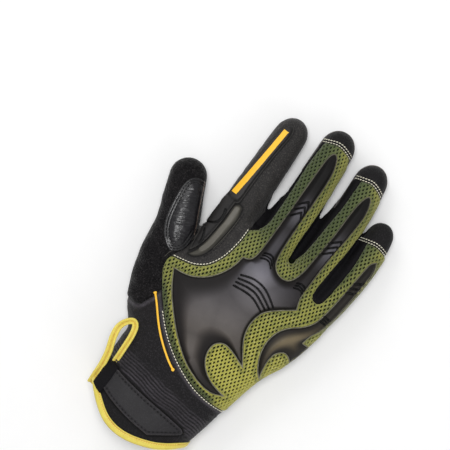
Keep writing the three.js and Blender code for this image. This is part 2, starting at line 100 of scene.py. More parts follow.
# materials
def shade(red, green, blue):
    # a colour as it looks on screen, 0 to 255, made linear
    values = [v / 255 for v in (red, green, blue)]
    linear = [v / 12.92 if v <= 0.04045 else ((v + 0.055) / 1.055) ** 2.4 for v in values]
    return (*linear, 1.0)


def addNode(tree, kind, inputs=None, **properties):
    made = tree.nodes.new(kind)
    for key, value in properties.items():
        setattr(made, key, value)
    for key, value in (inputs or {}).items():
        if isinstance(value, bpy.types.NodeSocket):
            tree.links.new(value, made.inputs[key])
        else:
            made.inputs[key].default_value = value
    return made


def newGroup(name, inputs, outputs):
    group = bpy.data.node_groups.new(name, "ShaderNodeTree")
    for label, kind, value in inputs:
        socket = group.interface.new_socket(name=label, in_out="INPUT", socket_type=kind)
        socket.default_value = value
    for label, kind in outputs:
        group.interface.new_socket(name=label, in_out="OUTPUT", socket_type=kind)
    return group, group.nodes.new("NodeGroupInput"), group.nodes.new("NodeGroupOutput")


def mathNode(tree, operation, first, second):
    return addNode(tree, "ShaderNodeMath", {0: first, 1: second}, operation=operation).outputs[0]


def mixColour(tree, factor, first, second):
    # the node's inputs 6 and 7 are its two colours
    return addNode(tree, "ShaderNodeMix", {0: factor, 6: first, 7: second}, data_type="RGBA").outputs[2]


number = "NodeSocketFloat"
tint = "NodeSocketColor"
dim = (0.1, 0.1, 0.1, 1)
pale = (0.3, 0.3, 0.3, 1)
# how soft noise is cut into patches, flecks, loops and the broken-up marks along edges: from this value to
# that one
noiseCuts = {"patch": (0.38, 0.68), "fleck": (0.50, 0.72), "loop": (0.7, 1.5), "edgeBreak": (0.3, 0.7)}
grain = {"patch": (5.0, 0.6), "fleck": (2.0, 0.7), "ground": (3.0, 0.5), "edgeBreak": (4.0, 0.5),
         "loopSoftness": 0.6, "loopRoundness": 1.6, "groundScale": 0.22, "threadScale": 0.31,
         "edgeBreakScale": 420.0, "edgeBreakLeast": 0.45}
fingersWay = (-0.35, 0.94, 0.0)


def objectPlace(tree):
    return addNode(tree, "ShaderNodeTexCoord").outputs["Object"]


def painted(tree, name):
    # a mask that a piece carries on its points
    return addNode(tree, "ShaderNodeAttribute", attribute_name=name).outputs["Fac"]


def grainNode(tree, place, scale, kind):
    detail, roughness = grain[kind]
    return addNode(tree, "ShaderNodeTexNoise", {"Vector": place, "Scale": scale, "Detail": detail,
                                                "Roughness": roughness}).outputs[0]


def ranged(tree, value, cut, low=0.0, high=1.0):
    # a value brought from one range to another
    return addNode(tree, "ShaderNodeMapRange", {0: value, 1: cut[0], 2: cut[1], 3: low,
                                                4: high}).outputs[0]


def makePatchyGroup():
    # a base colour with soft patches and fine flecks of two others
    group, given, result = newGroup(
        "patchyColour",
        [("Base", tint, dim), ("Patch", tint, dim), ("Fleck", tint, pale),
         ("Patch Scale", number, 60.0), ("Fleck Scale", number, 1500.0),
         ("Patch Amount", number, 0.5), ("Fleck Amount", number, 0.3)],
        [("Color", tint), ("Mask", number)])
    place = objectPlace(group)
    soft = grainNode(group, place, given.outputs["Patch Scale"], "patch")
    fine = grainNode(group, place, given.outputs["Fleck Scale"], "fleck")
    softMask = ranged(group, soft, noiseCuts["patch"])
    fineMask = ranged(group, fine, noiseCuts["fleck"])
    first = mixColour(group, mathNode(group, "MULTIPLY", softMask, given.outputs["Patch Amount"]),
                      given.outputs["Base"], given.outputs["Patch"])
    second = mixColour(group, mathNode(group, "MULTIPLY", fineMask, given.outputs["Fleck Amount"]),
                       first, given.outputs["Fleck"])
    group.links.new(second, result.inputs["Color"])
    group.links.new(softMask, result.inputs["Mask"])
    return group


def makeLoopGroup():
    # small round loops or grains, side by side, on an uneven ground
    group, given, result = newGroup(
        "loopedPile",
        [("Scale", number, 900.0), ("Stretch", number, 1.0), ("Unevenness", number, 0.4)],
        [("Height", number)])
    place = objectPlace(group)
    stretch = addNode(group, "ShaderNodeCombineXYZ", {0: 1.0, 1: given.outputs["Stretch"], 2: 1.0})
    turned = addNode(group, "ShaderNodeVectorMath", {0: place, 1: stretch.outputs[0]},
                     operation="MULTIPLY")
    cells = addNode(group, "ShaderNodeTexVoronoi", {"Vector": turned.outputs[0],
                                                    "Scale": given.outputs["Scale"],
                                                    "Smoothness": grain["loopSoftness"]},
                    feature="SMOOTH_F1")
    hollow = mathNode(group, "POWER", cells.outputs["Distance"], grain["loopRoundness"])
    broadScale = mathNode(group, "MULTIPLY", given.outputs["Scale"], grain["groundScale"])
    ground = mathNode(group, "MULTIPLY", grainNode(group, place, broadScale, "ground"),
                      given.outputs["Unevenness"])
    height = mathNode(group, "ADD", mathNode(group, "SUBTRACT", 1.0, hollow), ground)
    group.links.new(ranged(group, height, noiseCuts["loop"]), result.inputs["Height"])
    return group


def makeWeaveGroup():
    # threads that cross at right angles
    group, given, result = newGroup(
        "crossedThreads", [("Threads", number, 1500.0), ("Turn", number, 0.0), ("Wobble", number, 0.3)],
        [("Height", number)])
    place = objectPlace(group)
    turned = addNode(group, "ShaderNodeVectorRotate", {"Vector": place, "Angle": given.outputs["Turn"]},
                     rotation_type="Z_AXIS").outputs[0]
    # height is mixed in, so that the threads also cross on upright sides
    parts = addNode(group, "ShaderNodeSeparateXYZ", {0: turned}).outputs
    turned = addNode(group, "ShaderNodeCombineXYZ", {
        0: mathNode(group, "ADD", parts[0], parts[2]),
        1: mathNode(group, "ADD", parts[1], parts[2]), 2: parts[2]}).outputs[0]
    scale = mathNode(group, "MULTIPLY", given.outputs["Threads"], grain["threadScale"])
    waves = [addNode(group, "ShaderNodeTexWave", {
        "Vector": turned, "Scale": scale, "Distortion": given.outputs["Wobble"], "Detail": 1.0},
        bands_direction=direction).outputs[1] for direction in ("X", "Y")]
    height = mathNode(group, "MULTIPLY", waves[0], waves[1])
    group.links.new(height, result.inputs["Height"])
    return group


def makeWearAndPaintedLightGroup():
    # a second colour along the piece's own edge mask, broken up by noise: lighter wear beside cloth seams,
    # a painted highlight on rubber lips, patch rims and pleat ridges, and painted shade on the net's holes,
    # the binding's fold, the loop's groove and the claw's outline
    group, given, result = newGroup(
        "edgeWearAndPaintedLight",
        [("Color", tint, dim), ("Worn", tint, pale), ("Amount", number, 0.5)], [("Color", tint)])
    broken = grainNode(group, objectPlace(group), grain["edgeBreakScale"], "edgeBreak")
    brokenMask = ranged(group, broken, noiseCuts["edgeBreak"], grain["edgeBreakLeast"])
    mask = mathNode(group, "MULTIPLY", mathNode(group, "MULTIPLY", painted(group, "edge"), brokenMask),
                    given.outputs["Amount"])
    group.links.new(mixColour(group, mask, given.outputs["Color"], given.outputs["Worn"]),
                    result.inputs["Color"])
    return group


def makeFadeGroup():
    # one colour into another along the glove, from the wrist to the fingertips
    group, given, result = newGroup(
        "lengthwiseFade",
        [("Color", tint, dim), ("Far", tint, pale), ("Start", number, 0.0), ("End", number, 0.1)],
        [("Color", tint)])
    along = addNode(group, "ShaderNodeVectorMath", {0: objectPlace(group), 1: fingersWay},
                    operation="DOT_PRODUCT").outputs["Value"]
    mask = ranged(group, along, (given.outputs["Start"], given.outputs["End"]))
    group.links.new(mixColour(group, mask, given.outputs["Color"], given.outputs["Far"]),
                    result.inputs["Color"])
    return group


groups = {"patchy": makePatchyGroup(), "loops": makeLoopGroup(), "weave": makeWeaveGroup(),
          "wearAndPaintedLightMix": makeWearAndPaintedLightGroup(), "fade": makeFadeGroup()}


def placeGroup(tree, key, **inputs):
    named = {label.replace("_", " "): value for label, value in inputs.items()}
    return addNode(tree, "ShaderNodeGroup", named, node_tree=groups[key]).outputs


usualLook = {"patchScale": 60.0, "fleckScale": 1500.0, "patchAmount": 0.5, "fleckAmount": 0.3,
             "specular": 0.5, "mottle": 0.0, "relief": None}
# the painted shade in cavities (which relief heights count as low, and its colour), sheen and coat
# roughness, and where the painted highlight changes colour along the glove
finish = {"cavityCut": (0.75, 0.2), "cavityShade": (6, 6, 7), "sheenRough": 0.4, "coatRough": 0.25,
          "shineFrom": -0.035, "shineUntil": 0.012}


def makeMaterial(name, look):
    # one finish: patchy colour, a second colour along marked edges (wear on cloth, a painted highlight on
    # some pieces and painted shade on others), a relief from one of the shared effects, painted shade in
    # the relief's cavities, and a painted highlight and painted shade from the piece's own masks
    look = {**usualLook, **look}
    material = bpy.data.materials.new(name)
    material.use_nodes = True
    tree = material.node_tree
    shader = tree.nodes["Principled BSDF"].inputs
    patchy = placeGroup(tree, "patchy", Base=shade(*look["base"]), Patch=shade(*look["patch"]),
                        Fleck=shade(*look["fleck"]), Patch_Scale=look["patchScale"],
                        Fleck_Scale=look["fleckScale"], Patch_Amount=look["patchAmount"],
                        Fleck_Amount=look["fleckAmount"])
    colour = patchy["Color"]
    glossAndHighlightMask = patchy["Mask"]
    if "fade" in look:
        colour = placeGroup(tree, "fade", Color=colour, Far=shade(*look["fade"]["to"]),
                            Start=look["fade"]["from"], End=look["fade"]["until"])["Color"]
    # along marked edges: wear beside seams, a painted highlight on lips, rims and ridges, painted shade on
    # the net, binding, loop and claw
    if "wearAndPaintedLight" in look:
        colour = placeGroup(tree, "wearAndPaintedLightMix", Color=colour, Worn=shade(*look["wearAndPaintedLight"]),
                            Amount=look["wearAndPaintedLightAmount"])["Color"]
    if look["relief"]:
        effect, distance, strength, inputs = look["relief"]
        height = placeGroup(tree, effect, **inputs)["Height"]
        bump = addNode(tree, "ShaderNodeBump", {"Height": height, "Distance": distance,
                                                "Strength": strength})
        tree.links.new(bump.outputs[0], shader["Normal"])
    # painted shade in cavities: where the relief is low, the colour goes darker
    if "cavity" in look:
        cavityShadeMask = ranged(tree, height, finish["cavityCut"], 0.0, look["cavity"])
        colour = mixColour(tree, cavityShadeMask, colour, shade(*finish["cavityShade"]))
    # a painted highlight from the piece's own shine mask: a paler colour that changes from the wrist to the
    # fingers, dulled in patches by mottle; the same mask also sets the roughness
    if "paintedHighlight" in look:
        glossAndHighlightMask = painted(tree, "shine")
        lit = placeGroup(tree, "fade", Color=shade(*look.get("paintedHighlightLow", look["paintedHighlight"])),
                         Far=shade(*look["paintedHighlight"]), Start=finish["shineFrom"],
                         End=finish["shineUntil"])["Color"]
        dull = mathNode(tree, "MULTIPLY", patchy["Mask"], look["mottle"])
        lit = mixColour(tree, dull, lit, shade(*look["base"]))
        colour = mixColour(tree, glossAndHighlightMask, colour, lit)
    # painted shade from the piece's own mask: shadow beside raised pieces, shade in ditches, grooves and
    # channels, and darker sides
    if "hollow" in look:
        colour = mixColour(tree, painted(tree, "hollow"), colour, shade(*look["hollow"]))
    tree.links.new(colour, shader["Base Color"])
    tree.links.new(ranged(tree, glossAndHighlightMask, (0.0, 1.0), *look["rough"]), shader["Roughness"])
    shader["Specular IOR Level"].default_value = look["specular"]
    if "sheen" in look:
        shader["Sheen Weight"].default_value = look["sheen"]
        shader["Sheen Roughness"].default_value = finish["sheenRough"]
    if "coat" in look:
        shader["Coat Weight"].default_value = look["coat"]
        shader["Coat Roughness"].default_value = finish["coatRough"]
    return material


# what the stretch cloths, the moulded rubbers and the threads share
stretchCloth = {"fleckScale": 1150.0, "relief": ("weave", 0.00018, 0.7, {"Threads": 2000.0, "Turn": 0.2})}
# moulded rubber: a pale painted highlight along the lip and near-black painted shade in ditches, grooves
# and on the far finger arms
mouldedRubber = {"fleckAmount": 0.15, "mottle": 0.16, "wearAndPaintedLight": (156, 153, 130), "wearAndPaintedLightAmount": 0.95,
                 "hollow": (3, 3, 3),
                 "relief": ("loops", 0.00006, 0.35, {"Scale": 2600.0, "Unevenness": 0.6})}
sewingThread = {"fleckScale": 4000.0, "relief": ("loops", 0.0001, 0.6, {"Scale": 5200.0, "Stretch": 0.4})}
# in each look, the colour along marked edges is wear on cloth; on other pieces it is painted light and
# shade, as noted at each look; the shade colour is painted shade, the highlight colours a painted
# highlight, and the cavity amount painted shade in the relief's low places
looks = {
    "suede": {"base": (32, 33, 34), "patch": (42, 44, 45), "fleck": (66, 68, 69), "rough": (0.8, 0.95),
              "specular": 0.25, "sheen": 0.25, "patchScale": 45.0, "fleckScale": 1700.0,
              "wearAndPaintedLight": (60, 60, 60), "wearAndPaintedLightAmount": 0.4, "cavity": 0.35,
              "relief": ("loops", 0.0002, 0.5, {"Scale": 2300.0, "Unevenness": 0.8})},
    # leather: its edge colour is the cut edge's own pale colour and a painted highlight on the rounded
    # rims; its shade colour is painted shade in the stitched channels
    "leather": {"base": (19, 18, 21), "patch": (27, 25, 30), "fleck": (42, 40, 46),
                "rough": (0.28, 0.42), "specular": 0.45, "coat": 0.08, "patchScale": 120.0,
                "wearAndPaintedLight": (170, 148, 134), "wearAndPaintedLightAmount": 0.95, "hollow": (6, 6, 7), "cavity": 0.4,
                "relief": ("loops", 0.00012, 0.5, {"Scale": 1300.0, "Unevenness": 1.0})},
    "meshBacking": {"base": (9, 11, 5), "patch": (7, 8, 4), "fleck": (26, 32, 12),
                    "rough": (0.85, 0.95), "specular": 0.1, "cavity": 0.3,
                    "fade": {"to": (30, 38, 18), "from": -0.03, "until": 0.05},
                    "relief": ("weave", 0.0002, 0.6, {"Threads": 2200.0})},
    # the net's yarn: its pale flecks are painted glints; its edge colour is painted shade at the holes'
    # rims and walls and beside the guards; its paler colours a painted highlight on the fingers' right
    # sides and at the heel; its green shade colour painted shade on the fingers' left sides, the squeezed
    # strip and beside the guards
    "netYarn": {"base": (208, 202, 82), "patch": (152, 158, 56), "fleck": (246, 243, 158),
                "rough": (0.5, 0.65), "specular": 0.4, "sheen": 0.2, "patchScale": 420.0,
                "patchAmount": 0.8, "fleckScale": 760.0, "fleckAmount": 0.7, "wearAndPaintedLight": (26, 30, 10),
                "wearAndPaintedLightAmount": 1.0, "cavity": 0.35,
                "fade": {"to": (124, 136, 76), "from": -0.05, "until": 0.055},
                "paintedHighlight": (158, 154, 70), "paintedHighlightLow": (190, 184, 80), "hollow": (56, 70, 38),
                "relief": ("weave", 0.0002, 0.7, {"Threads": 3600.0, "Turn": 0.6})},
    # its edge colour is wear beside the seams; its shade colour is painted shadow beside raised pieces
    "capCloth": {**stretchCloth, "base": (19, 18, 19), "patch": (27, 25, 27), "fleck": (62, 59, 62),
                 "rough": (0.7, 0.85), "specular": 0.22, "sheen": 0.06, "fleckAmount": 0.5,
                 "wearAndPaintedLight": (46, 44, 47), "wearAndPaintedLightAmount": 0.35, "cavity": 0.3, "hollow": (4, 4, 4)},
    # its edge colour is wear beside the seams and a painted highlight along the tab band's rim
    "stripCloth": {**stretchCloth, "base": (17, 16, 19), "patch": (23, 22, 25), "fleck": (46, 44, 49),
                   "rough": (0.75, 0.9), "specular": 0.14, "wearAndPaintedLight": (34, 32, 36), "wearAndPaintedLightAmount": 0.3,
                   "cavity": 0.3},
    # its edge colour is wear beside the seams; its shade colour is painted shadow beside the claw and the
    # index guard
    "indexCloth": {**stretchCloth, "base": (42, 40, 40), "patch": (52, 50, 49), "fleck": (98, 94, 90),
                   "rough": (0.66, 0.82), "specular": 0.3, "sheen": 0.12, "patchScale": 90.0,
                   "fleckAmount": 0.6, "wearAndPaintedLight": (76, 73, 72), "wearAndPaintedLightAmount": 0.3, "cavity": 0.35,
                   "hollow": (4, 4, 4),
                   "relief": ("weave", 0.00018, 0.7, {"Threads": 1900.0, "Turn": 0.2})},
    "terry": {"base": (21, 20, 21), "patch": (30, 28, 29), "fleck": (70, 67, 68), "rough": (0.9, 1.0),
              "specular": 0.1, "sheen": 0.12, "fleckScale": 1000.0, "fleckAmount": 0.5, "cavity": 0.7,
              "relief": ("loops", 0.0006, 0.8, {"Scale": 1050.0, "Unevenness": 1.0})},
    # its edge colour is lighter wear beside the seams and a painted highlight on the pleats' ridges; its
    # shade colour is painted shadow beside the tab and the darker cloth below it
    "elastic": {"base": (22, 21, 23), "patch": (44, 41, 42), "fleck": (82, 78, 83),
                "patchScale": 36.0, "rough": (0.75, 0.9), "specular": 0.22, "sheen": 0.12,
                "fleckScale": 1150.0, "fleckAmount": 0.45, "wearAndPaintedLight": (100, 95, 102),
                "wearAndPaintedLightAmount": 0.8, "cavity": 0.35, "hollow": (4, 4, 4),
                "relief": ("weave", 0.00025, 0.7, {"Threads": 1500.0, "Turn": 0.0})},
    # its orange edge colour is painted shade in the stitched line, along the outer fold and down the loop's
    # middle groove
    "bindingTape": {"base": (224, 206, 82), "patch": (242, 226, 110), "fleck": (254, 243, 168),
                    "rough": (0.5, 0.65), "specular": 0.4, "sheen": 0.15, "patchScale": 90.0,
                    "fleckScale": 1500.0, "wearAndPaintedLight": (188, 126, 30), "wearAndPaintedLightAmount": 0.95,
                    "relief": ("weave", 0.0002, 0.6, {"Threads": 1700.0, "Turn": 0.785})},
    # its highlight colours are a painted highlight on the crown, from the wrist end to the finger end
    "guardRubber": {**mouldedRubber, "base": (20, 17, 17), "patch": (27, 23, 23), "fleck": (40, 35, 34),
                    "rough": (0.7, 0.4), "paintedHighlight": (113, 111, 119), "paintedHighlightLow": (103, 96, 91),
                    "specular": 0.24, "patchScale": 90.0},
    # a bronze painted highlight on its body
    "sideRubber": {**mouldedRubber, "base": (24, 21, 18), "patch": (34, 29, 23), "fleck": (48, 42, 34),
                   "rough": (0.66, 0.42), "paintedHighlight": (122, 109, 84), "specular": 0.28,
                   "patchScale": 80.0},
    # its edge colour is a painted highlight along the lip, its highlight colour a painted highlight on the
    # crown, its shade colour painted shade in the ditch and grooves
    "greyRubber": {"base": (22, 21, 21), "patch": (30, 28, 28), "fleck": (54, 51, 50),
                   "rough": (0.65, 0.45), "paintedHighlight": (56, 53, 52), "specular": 0.32,
                   "fleckAmount": 0.4, "wearAndPaintedLight": (88, 85, 82), "wearAndPaintedLightAmount": 0.7, "hollow": (6, 6, 6),
                   "relief": ("loops", 0.0001, 0.4, {"Scale": 2200.0, "Unevenness": 0.6})},
    # its edge colour is a dark painted outline of shade round the claw, its highlight colour a painted
    # highlight on the ridge, its shade colour painted shade in the ditch
    "paleRubber": {"base": (66, 64, 58), "patch": (78, 76, 69), "fleck": (98, 95, 88),
                   "rough": (0.6, 0.42), "paintedHighlight": (104, 100, 91), "specular": 0.35,
                   "patchScale": 70.0, "wearAndPaintedLight": (12, 11, 11), "wearAndPaintedLightAmount": 0.95, "hollow": (40, 38, 35),
                   "relief": ("loops", 0.00006, 0.3, {"Scale": 2400.0, "Unevenness": 0.6})},
    # its edge colour is a painted highlight along the tab's raised rim
    "label": {"base": (31, 29, 32), "patch": (40, 38, 41), "fleck": (70, 67, 71), "rough": (0.5, 0.65),
              "specular": 0.35, "fleckScale": 1300.0, "wearAndPaintedLight": (104, 99, 104), "wearAndPaintedLightAmount": 0.9,
              "hollow": (8, 7, 8), "cavity": 0.25,
              "relief": ("weave", 0.0002, 0.6, {"Threads": 1700.0, "Turn": 0.785})},
    "print": {"base": (250, 190, 28), "patch": (250, 198, 44), "fleck": (254, 216, 90),
              "rough": (0.4, 0.5), "specular": 0.5,
              "relief": ("weave", 0.0001, 0.4, {"Threads": 2600.0})},
    "paleThread": {**sewingThread, "base": (232, 228, 206), "patch": (214, 210, 184),
                   "fleck": (248, 246, 232), "rough": (0.55, 0.7), "sheen": 0.2},
    "darkThread": {**sewingThread, "base": (9, 8, 10), "patch": (14, 13, 15), "fleck": (40, 38, 42),
                   "rough": (0.55, 0.7), "specular": 0.3},
    "yellowThread": {**sewingThread, "base": (252, 226, 112), "patch": (244, 210, 84),
                     "fleck": (255, 244, 176), "rough": (0.5, 0.65), "sheen": 0.2},
    "backdrop": {"base": (250, 250, 250), "patch": (252, 252, 252), "fleck": (248, 248, 248),
                 "rough": (0.9, 0.95), "specular": 0.2},
}
materials = {name: makeMaterial(name, look) for name, look in looks.items()}
print("materials ready:", len(materials))


# the glove's form: tubes through tables of sections, as in the CAD model
# each row is y, x, z, half width, half height, lean
gloveTubes = {
    "hand": {"exponent": 2.6, "dome": 10, "rows": [
        (-138, -17.6, 22, 37.5, 22, 0), (-112, -17.7, 21, 38.8, 21.5, 0),
        (-84, -14.6, 19, 41.8, 19.5, 0), (-55, -11, 18, 45, 18.3, 0), (-30, -8.5, 17.8, 51, 18.3, 0),
        (-8, -3.5, 17.3, 53.5, 17.8, -0.06), (10, 0.5, 16.5, 54, 16.8, -0.12),
        (20, 1.8, 15, 53.5, 14.8, -0.15)]},
    "index": {"exponent": 2.25, "dome": 13, "rows": [
        (-4, -38.5, 16, 12.6, 12.5, 0), (32, -39.6, 15.8, 13, 12.6, 0), (60, -39.8, 15.6, 12.6, 11.8, 0),
        (84, -40, 13.8, 12, 10.9, 0), (99.2, -40, 12, 11.3, 10.2, 0)]},
    "middle": {"exponent": 2.25, "dome": 13, "rows": [
        (-4, -7.5, 17, 12.8, 13, 0), (32, -6.9, 16.8, 13.4, 12.9, 0), (62, -6.8, 16.4, 13.4, 12, 0),
        (90, -8, 14.2, 12.2, 11, 0), (109.6, -8.8, 12, 11.5, 10.3, 0)]},
    "ring": {"exponent": 2.25, "dome": 13, "rows": [
        (-4, 22.5, 16, 12.4, 12.5, 0), (28, 24.2, 16, 12.8, 12.4, 0), (57, 24.8, 15.7, 12.6, 11.7, 0),
        (84, 24.4, 13.6, 12, 10.7, 0), (103.6, 23, 11.8, 11, 10, 0)]},
    "little": {"exponent": 2.25, "dome": 11, "rows": [
        (-34, 33.5, 15, 9, 11, 0), (-8, 40.2, 14.8, 10.2, 11.3, 0), (18, 45.7, 14.4, 10.7, 11.3, 0),
        (44, 49.4, 13.7, 10.4, 10.6, 0), (63, 50.2, 12, 10, 9.7, 0), (77.2, 49.3, 10.8, 9.4, 9, 0)]},
    "thumb": {"exponent": 2.25, "dome": 13, "rows": [
        (-66, -36, 17, 17, 15.5, 0), (-42, -52, 16.5, 19.5, 15.5, 0), (-16, -62.5, 16, 18, 15, 0),
        (6, -68.5, 15.5, 15, 14, 0), (23, -75.5, 14.5, 13.8, 13, 0), (37, -81, 13, 12.8, 11.8, 0)]},
    # the strips' cloth fills the crotches and narrows along the fingers' sides
    "webIndex": {"exponent": 2.0, "dome": 5, "rows": [
        (14, -27.5, 9.5, 5, 7.5, 0), (40, -28.2, 9, 4.7, 6.5, 0), (68, -32.6, 8.5, 4.2, 5, 0)]},
    "webMiddleLeft": {"exponent": 2.0, "dome": 5, "rows": [
        (14, -19.5, 9.5, 5, 7.5, 0), (40, -19.2, 9, 4.6, 6.5, 0), (68, -15.8, 8.5, 4.2, 5, 0)]},
    "webMiddleRight": {"exponent": 2.0, "dome": 5, "rows": [
        (14, 4.6, 9.5, 5, 7.5, 0), (50, 4.4, 9, 4.4, 6.5, 0), (80, 1.6, 8.5, 4.2, 5, 0)]},
    "webRingLeft": {"exponent": 2.0, "dome": 5, "rows": [
        (14, 12.6, 9.5, 5, 7.5, 0), (50, 13.0, 9, 4.4, 6.5, 0), (80, 16.0, 8.5, 4.2, 5, 0)]},
    "webRingRight": {"exponent": 2.0, "dome": 5, "rows": [
        (6, 32.4, 9.5, 4.6, 7.5, 0), (40, 33.4, 9, 4.4, 6.5, 0), (63, 33.8, 8.6, 4.2, 5.6, 0),
        (86, 31.6, 8.2, 4, 5, 0)]},
    "webLittle": {"exponent": 2.0, "dome": 5, "rows": [
        (6, 39.2, 9.5, 4.6, 7.5, 0), (40, 41.4, 9, 4.2, 6.5, 0), (63, 42.2, 8.4, 4.0, 5.4, 0),
        (74, 43.4, 8.2, 3.8, 5, 0)]},
}
cloth = {"wall": 2.0, "floor": 1.0, "backSeamHeight": 11.0, "gussetFoot": 5.5, "voxel": 1.15,
         "smoothing": 16, "seamDepth": 0.55, "seamWidth": 1.0, "seamSwell": 0.18, "foldSwell": 0.45,
         "swellAt": 2.6, "seamLight": (1.6, 0.9), "capReach": 30, "lowest": 0.25, "finerBelow": -79.0,
         "hem": 0.6, "sunk": 0.6, "facing": (-0.1, 0.35), "warp": (0.28, 0.055), "rumple": (0.12, 0.16)}


def shapeOf(mesh):
    bm = bmesh.new()
    bm.from_mesh(mesh)
    return bm


def catmullRom(rows, place):
    rows = np.asarray(rows, float)
    last = len(rows) - 1
    i = np.minimum(np.floor(place * last).astype(int), last - 1)
    t = (place * last - i)[:, None]
    a = rows[np.maximum(i - 1, 0)]
    b = rows[i]
    c = rows[i + 1]
    d = rows[np.minimum(i + 2, last)]
    return 0.5 * (2 * b + (c - a) * t + (2 * a - 5 * b + 4 * c - d) * t ** 2
                  + (3 * b - a - 3 * c + d) * t ** 3)


# a tube's parts along its grid: the closed foot, the body, the rounded tip
tubeGrid = {"around": 112, "along": 150, "foot": 0.03, "body": 0.82, "tip": 0.85, "look": 0.02,
            "weld": 0.002}


def tubeForm(tube):
    # a grid rolled into a tube, closed flat at its first row and rounded at its last
    rows = np.array(tube["rows"], float)
    bm = bmesh.new()
    bmesh.ops.create_grid(bm, x_segments=tubeGrid["around"], y_segments=tubeGrid["along"], size=1)
    flat = np.array([v.co[:] for v in bm.verts])
    angle = math.pi * (flat[:, 0] + 1)
    step = (flat[:, 1] + 1) / 2
    place = np.clip((step - tubeGrid["foot"]) / tubeGrid["body"], 0, 1)
    tip = np.clip((step - tubeGrid["tip"]) / (1 - tubeGrid["tip"]), 0, 1) * math.pi / 2
    ahead = catmullRom(rows, np.minimum(place + tubeGrid["look"], 1))
    ahead -= catmullRom(rows, np.maximum(place - tubeGrid["look"], 0))
    way = ahead[:, [1, 0]] / np.hypot(ahead[:, 0], ahead[:, 1])[:, None]
    y, x, z, halfWidth, halfHeight, lean = catmullRom(rows, place).T
    scale = np.clip(step / tubeGrid["foot"], 0, 1) * np.cos(tip)
    power = 2 / tube["exponent"]
    across = halfWidth * scale * np.sign(np.cos(angle)) * np.abs(np.cos(angle)) ** power
    up = halfHeight * scale * np.sign(np.sin(angle)) * np.abs(np.sin(angle)) ** power
    forward = tube["dome"] * np.sin(tip) + lean * across
    bent = np.stack([x + way[:, 1] * across + way[:, 0] * forward,
                     y - way[:, 0] * across + way[:, 1] * forward, z + up], axis=1)
    for vert, point in zip(bm.verts, bent):
        vert.co = point
    return closeUp(bm, tubeGrid["weld"])


def closeUp(bm, weld):
    # doubles merged, faces outward
    bmesh.ops.remove_doubles(bm, verts=bm.verts[:], dist=weld)
    bmesh.ops.recalc_face_normals(bm, faces=bm.faces[:])
    return bm


def meshOf(bm, name="shape"):
    mesh = bpy.data.meshes.new(name)
    bm.to_mesh(mesh)
    return mesh


def withModifier(mesh, kind, **values):
    # the mesh as a modifier leaves it
    holder = linked("holder", mesh)
    modifier = holder.modifiers.new("shape", kind)
    for key, value in values.items():
        setattr(modifier, key, value)
    bpy.context.view_layer.update()
    current = holder.evaluated_get(bpy.context.evaluated_depsgraph_get())
    made = bpy.data.meshes.new_from_object(current)
    bpy.data.objects.remove(holder)
    return made


def refined(bm):
    # the shape with each face parted in four and smoothed
    mesh = withModifier(meshOf(bm), "SUBSURF", levels=1, render_levels=1)
    bm.free()
    return shapeOf(mesh)


def pointsOf(bm):
    return np.array([v.co[:] for v in bm.verts]).reshape(-1, 3)


def paint(bm, masks):
    # masks that the materials read, one number per point
    for name, values in masks.items():
        layer = bm.verts.layers.float.new(name)
        for vert, value in zip(bm.verts, values):
            vert[layer] = float(value)


def triangulate(bm):
    bmesh.ops.triangulate(bm, faces=[f for f in bm.faces if len(f.verts) > 3])


def dropLoose(bm):
    bmesh.ops.delete(bm, geom=[v for v in bm.verts if not v.link_faces], context="VERTS")


def nearestDistances(points, targets):
    near = KDTree(len(targets))
    for i, target in enumerate(targets):
        near.insert(target, i)
    near.balance()
    return np.array([near.find(p)[2] for p in points])


def selectOnly(holder):
    for other in bpy.context.selected_objects:
        other.select_set(False)
    bpy.context.view_layer.objects.active = holder
    holder.select_set(True)


def makeSkin():
    # the tubes as one smooth closed surface, flat where the glove lies on the floor
    whole = bmesh.new()
    for tube in gloveTubes.values():
        part = tubeForm(tube)
        whole.from_mesh(meshOf(part))
        part.free()
    for vert in whole.verts:
        vert.co.z = max(vert.co.z, cloth["floor"])
    mesh = withModifier(meshOf(whole), "REMESH", mode="VOXEL", voxel_size=cloth["voxel"], adaptivity=0.0)
    whole.free()
    return withModifier(mesh, "SMOOTH", factor=0.5, iterations=cloth["smoothing"])


skinMesh = makeSkin()
print("skin:", len(skinMesh.polygons), "faces")


# lines and outlines on the pattern: how finely a curve is followed, and the step between its points
curved = {"fineness": 24, "step": 1.5}


def smoothLine(curves, closed=True):
    # points along curves that meet in corners, evenly spaced on each
    made = []
    for curve in curves:
        control = np.array(curve, float)
        dense = catmullRom(control, np.linspace(0, 1, curved["fineness"] * (len(control) - 1) + 1))
        length = np.concatenate([[0], np.cumsum(np.hypot(*np.diff(dense, axis=0).T))])
        count = 2 if len(control) == 2 else max(int(length[-1] / curved["step"]), 2) + 1
        marks = np.linspace(0, length[-1], count)
        even = np.stack([np.interp(marks, length, dense[:, i]) for i in range(2)], axis=1)
        made.extend(even[:-1])
    if not closed:
        made.append(even[-1])
    return np.array(made)


def distanceTo(points, line, closed):
    # how far each plan point is from a line, negative inside where the line is closed
    best = np.full(len(points), 1e12)
    inside = np.zeros(len(points), bool)
    for i in range(len(line) if closed else len(line) - 1):
        start = line[i]
        end = line[(i + 1) % len(line)]
        way = end - start
        off = points - start
        t = np.clip(off @ way / max(way @ way, 1e-12), 0, 1)
        gap = off - t[:, None] * way
        best = np.minimum(best, gap[:, 0] ** 2 + gap[:, 1] ** 2)
        if closed and start[1] != end[1]:
            crosses = (start[1] > points[:, 1]) != (end[1] > points[:, 1])
            inside ^= crosses & (off[:, 0] < way[0] * off[:, 1] / way[1])
    distance = np.sqrt(best)
    return np.where(inside, -distance, distance) if closed else distance


def fromLine(points, curve):
    return distanceTo(points[:, :2], smoothLine([curve], False), False)


def fromOutline(points, curves):
    return distanceTo(points[:, :2], smoothLine(curves), True)


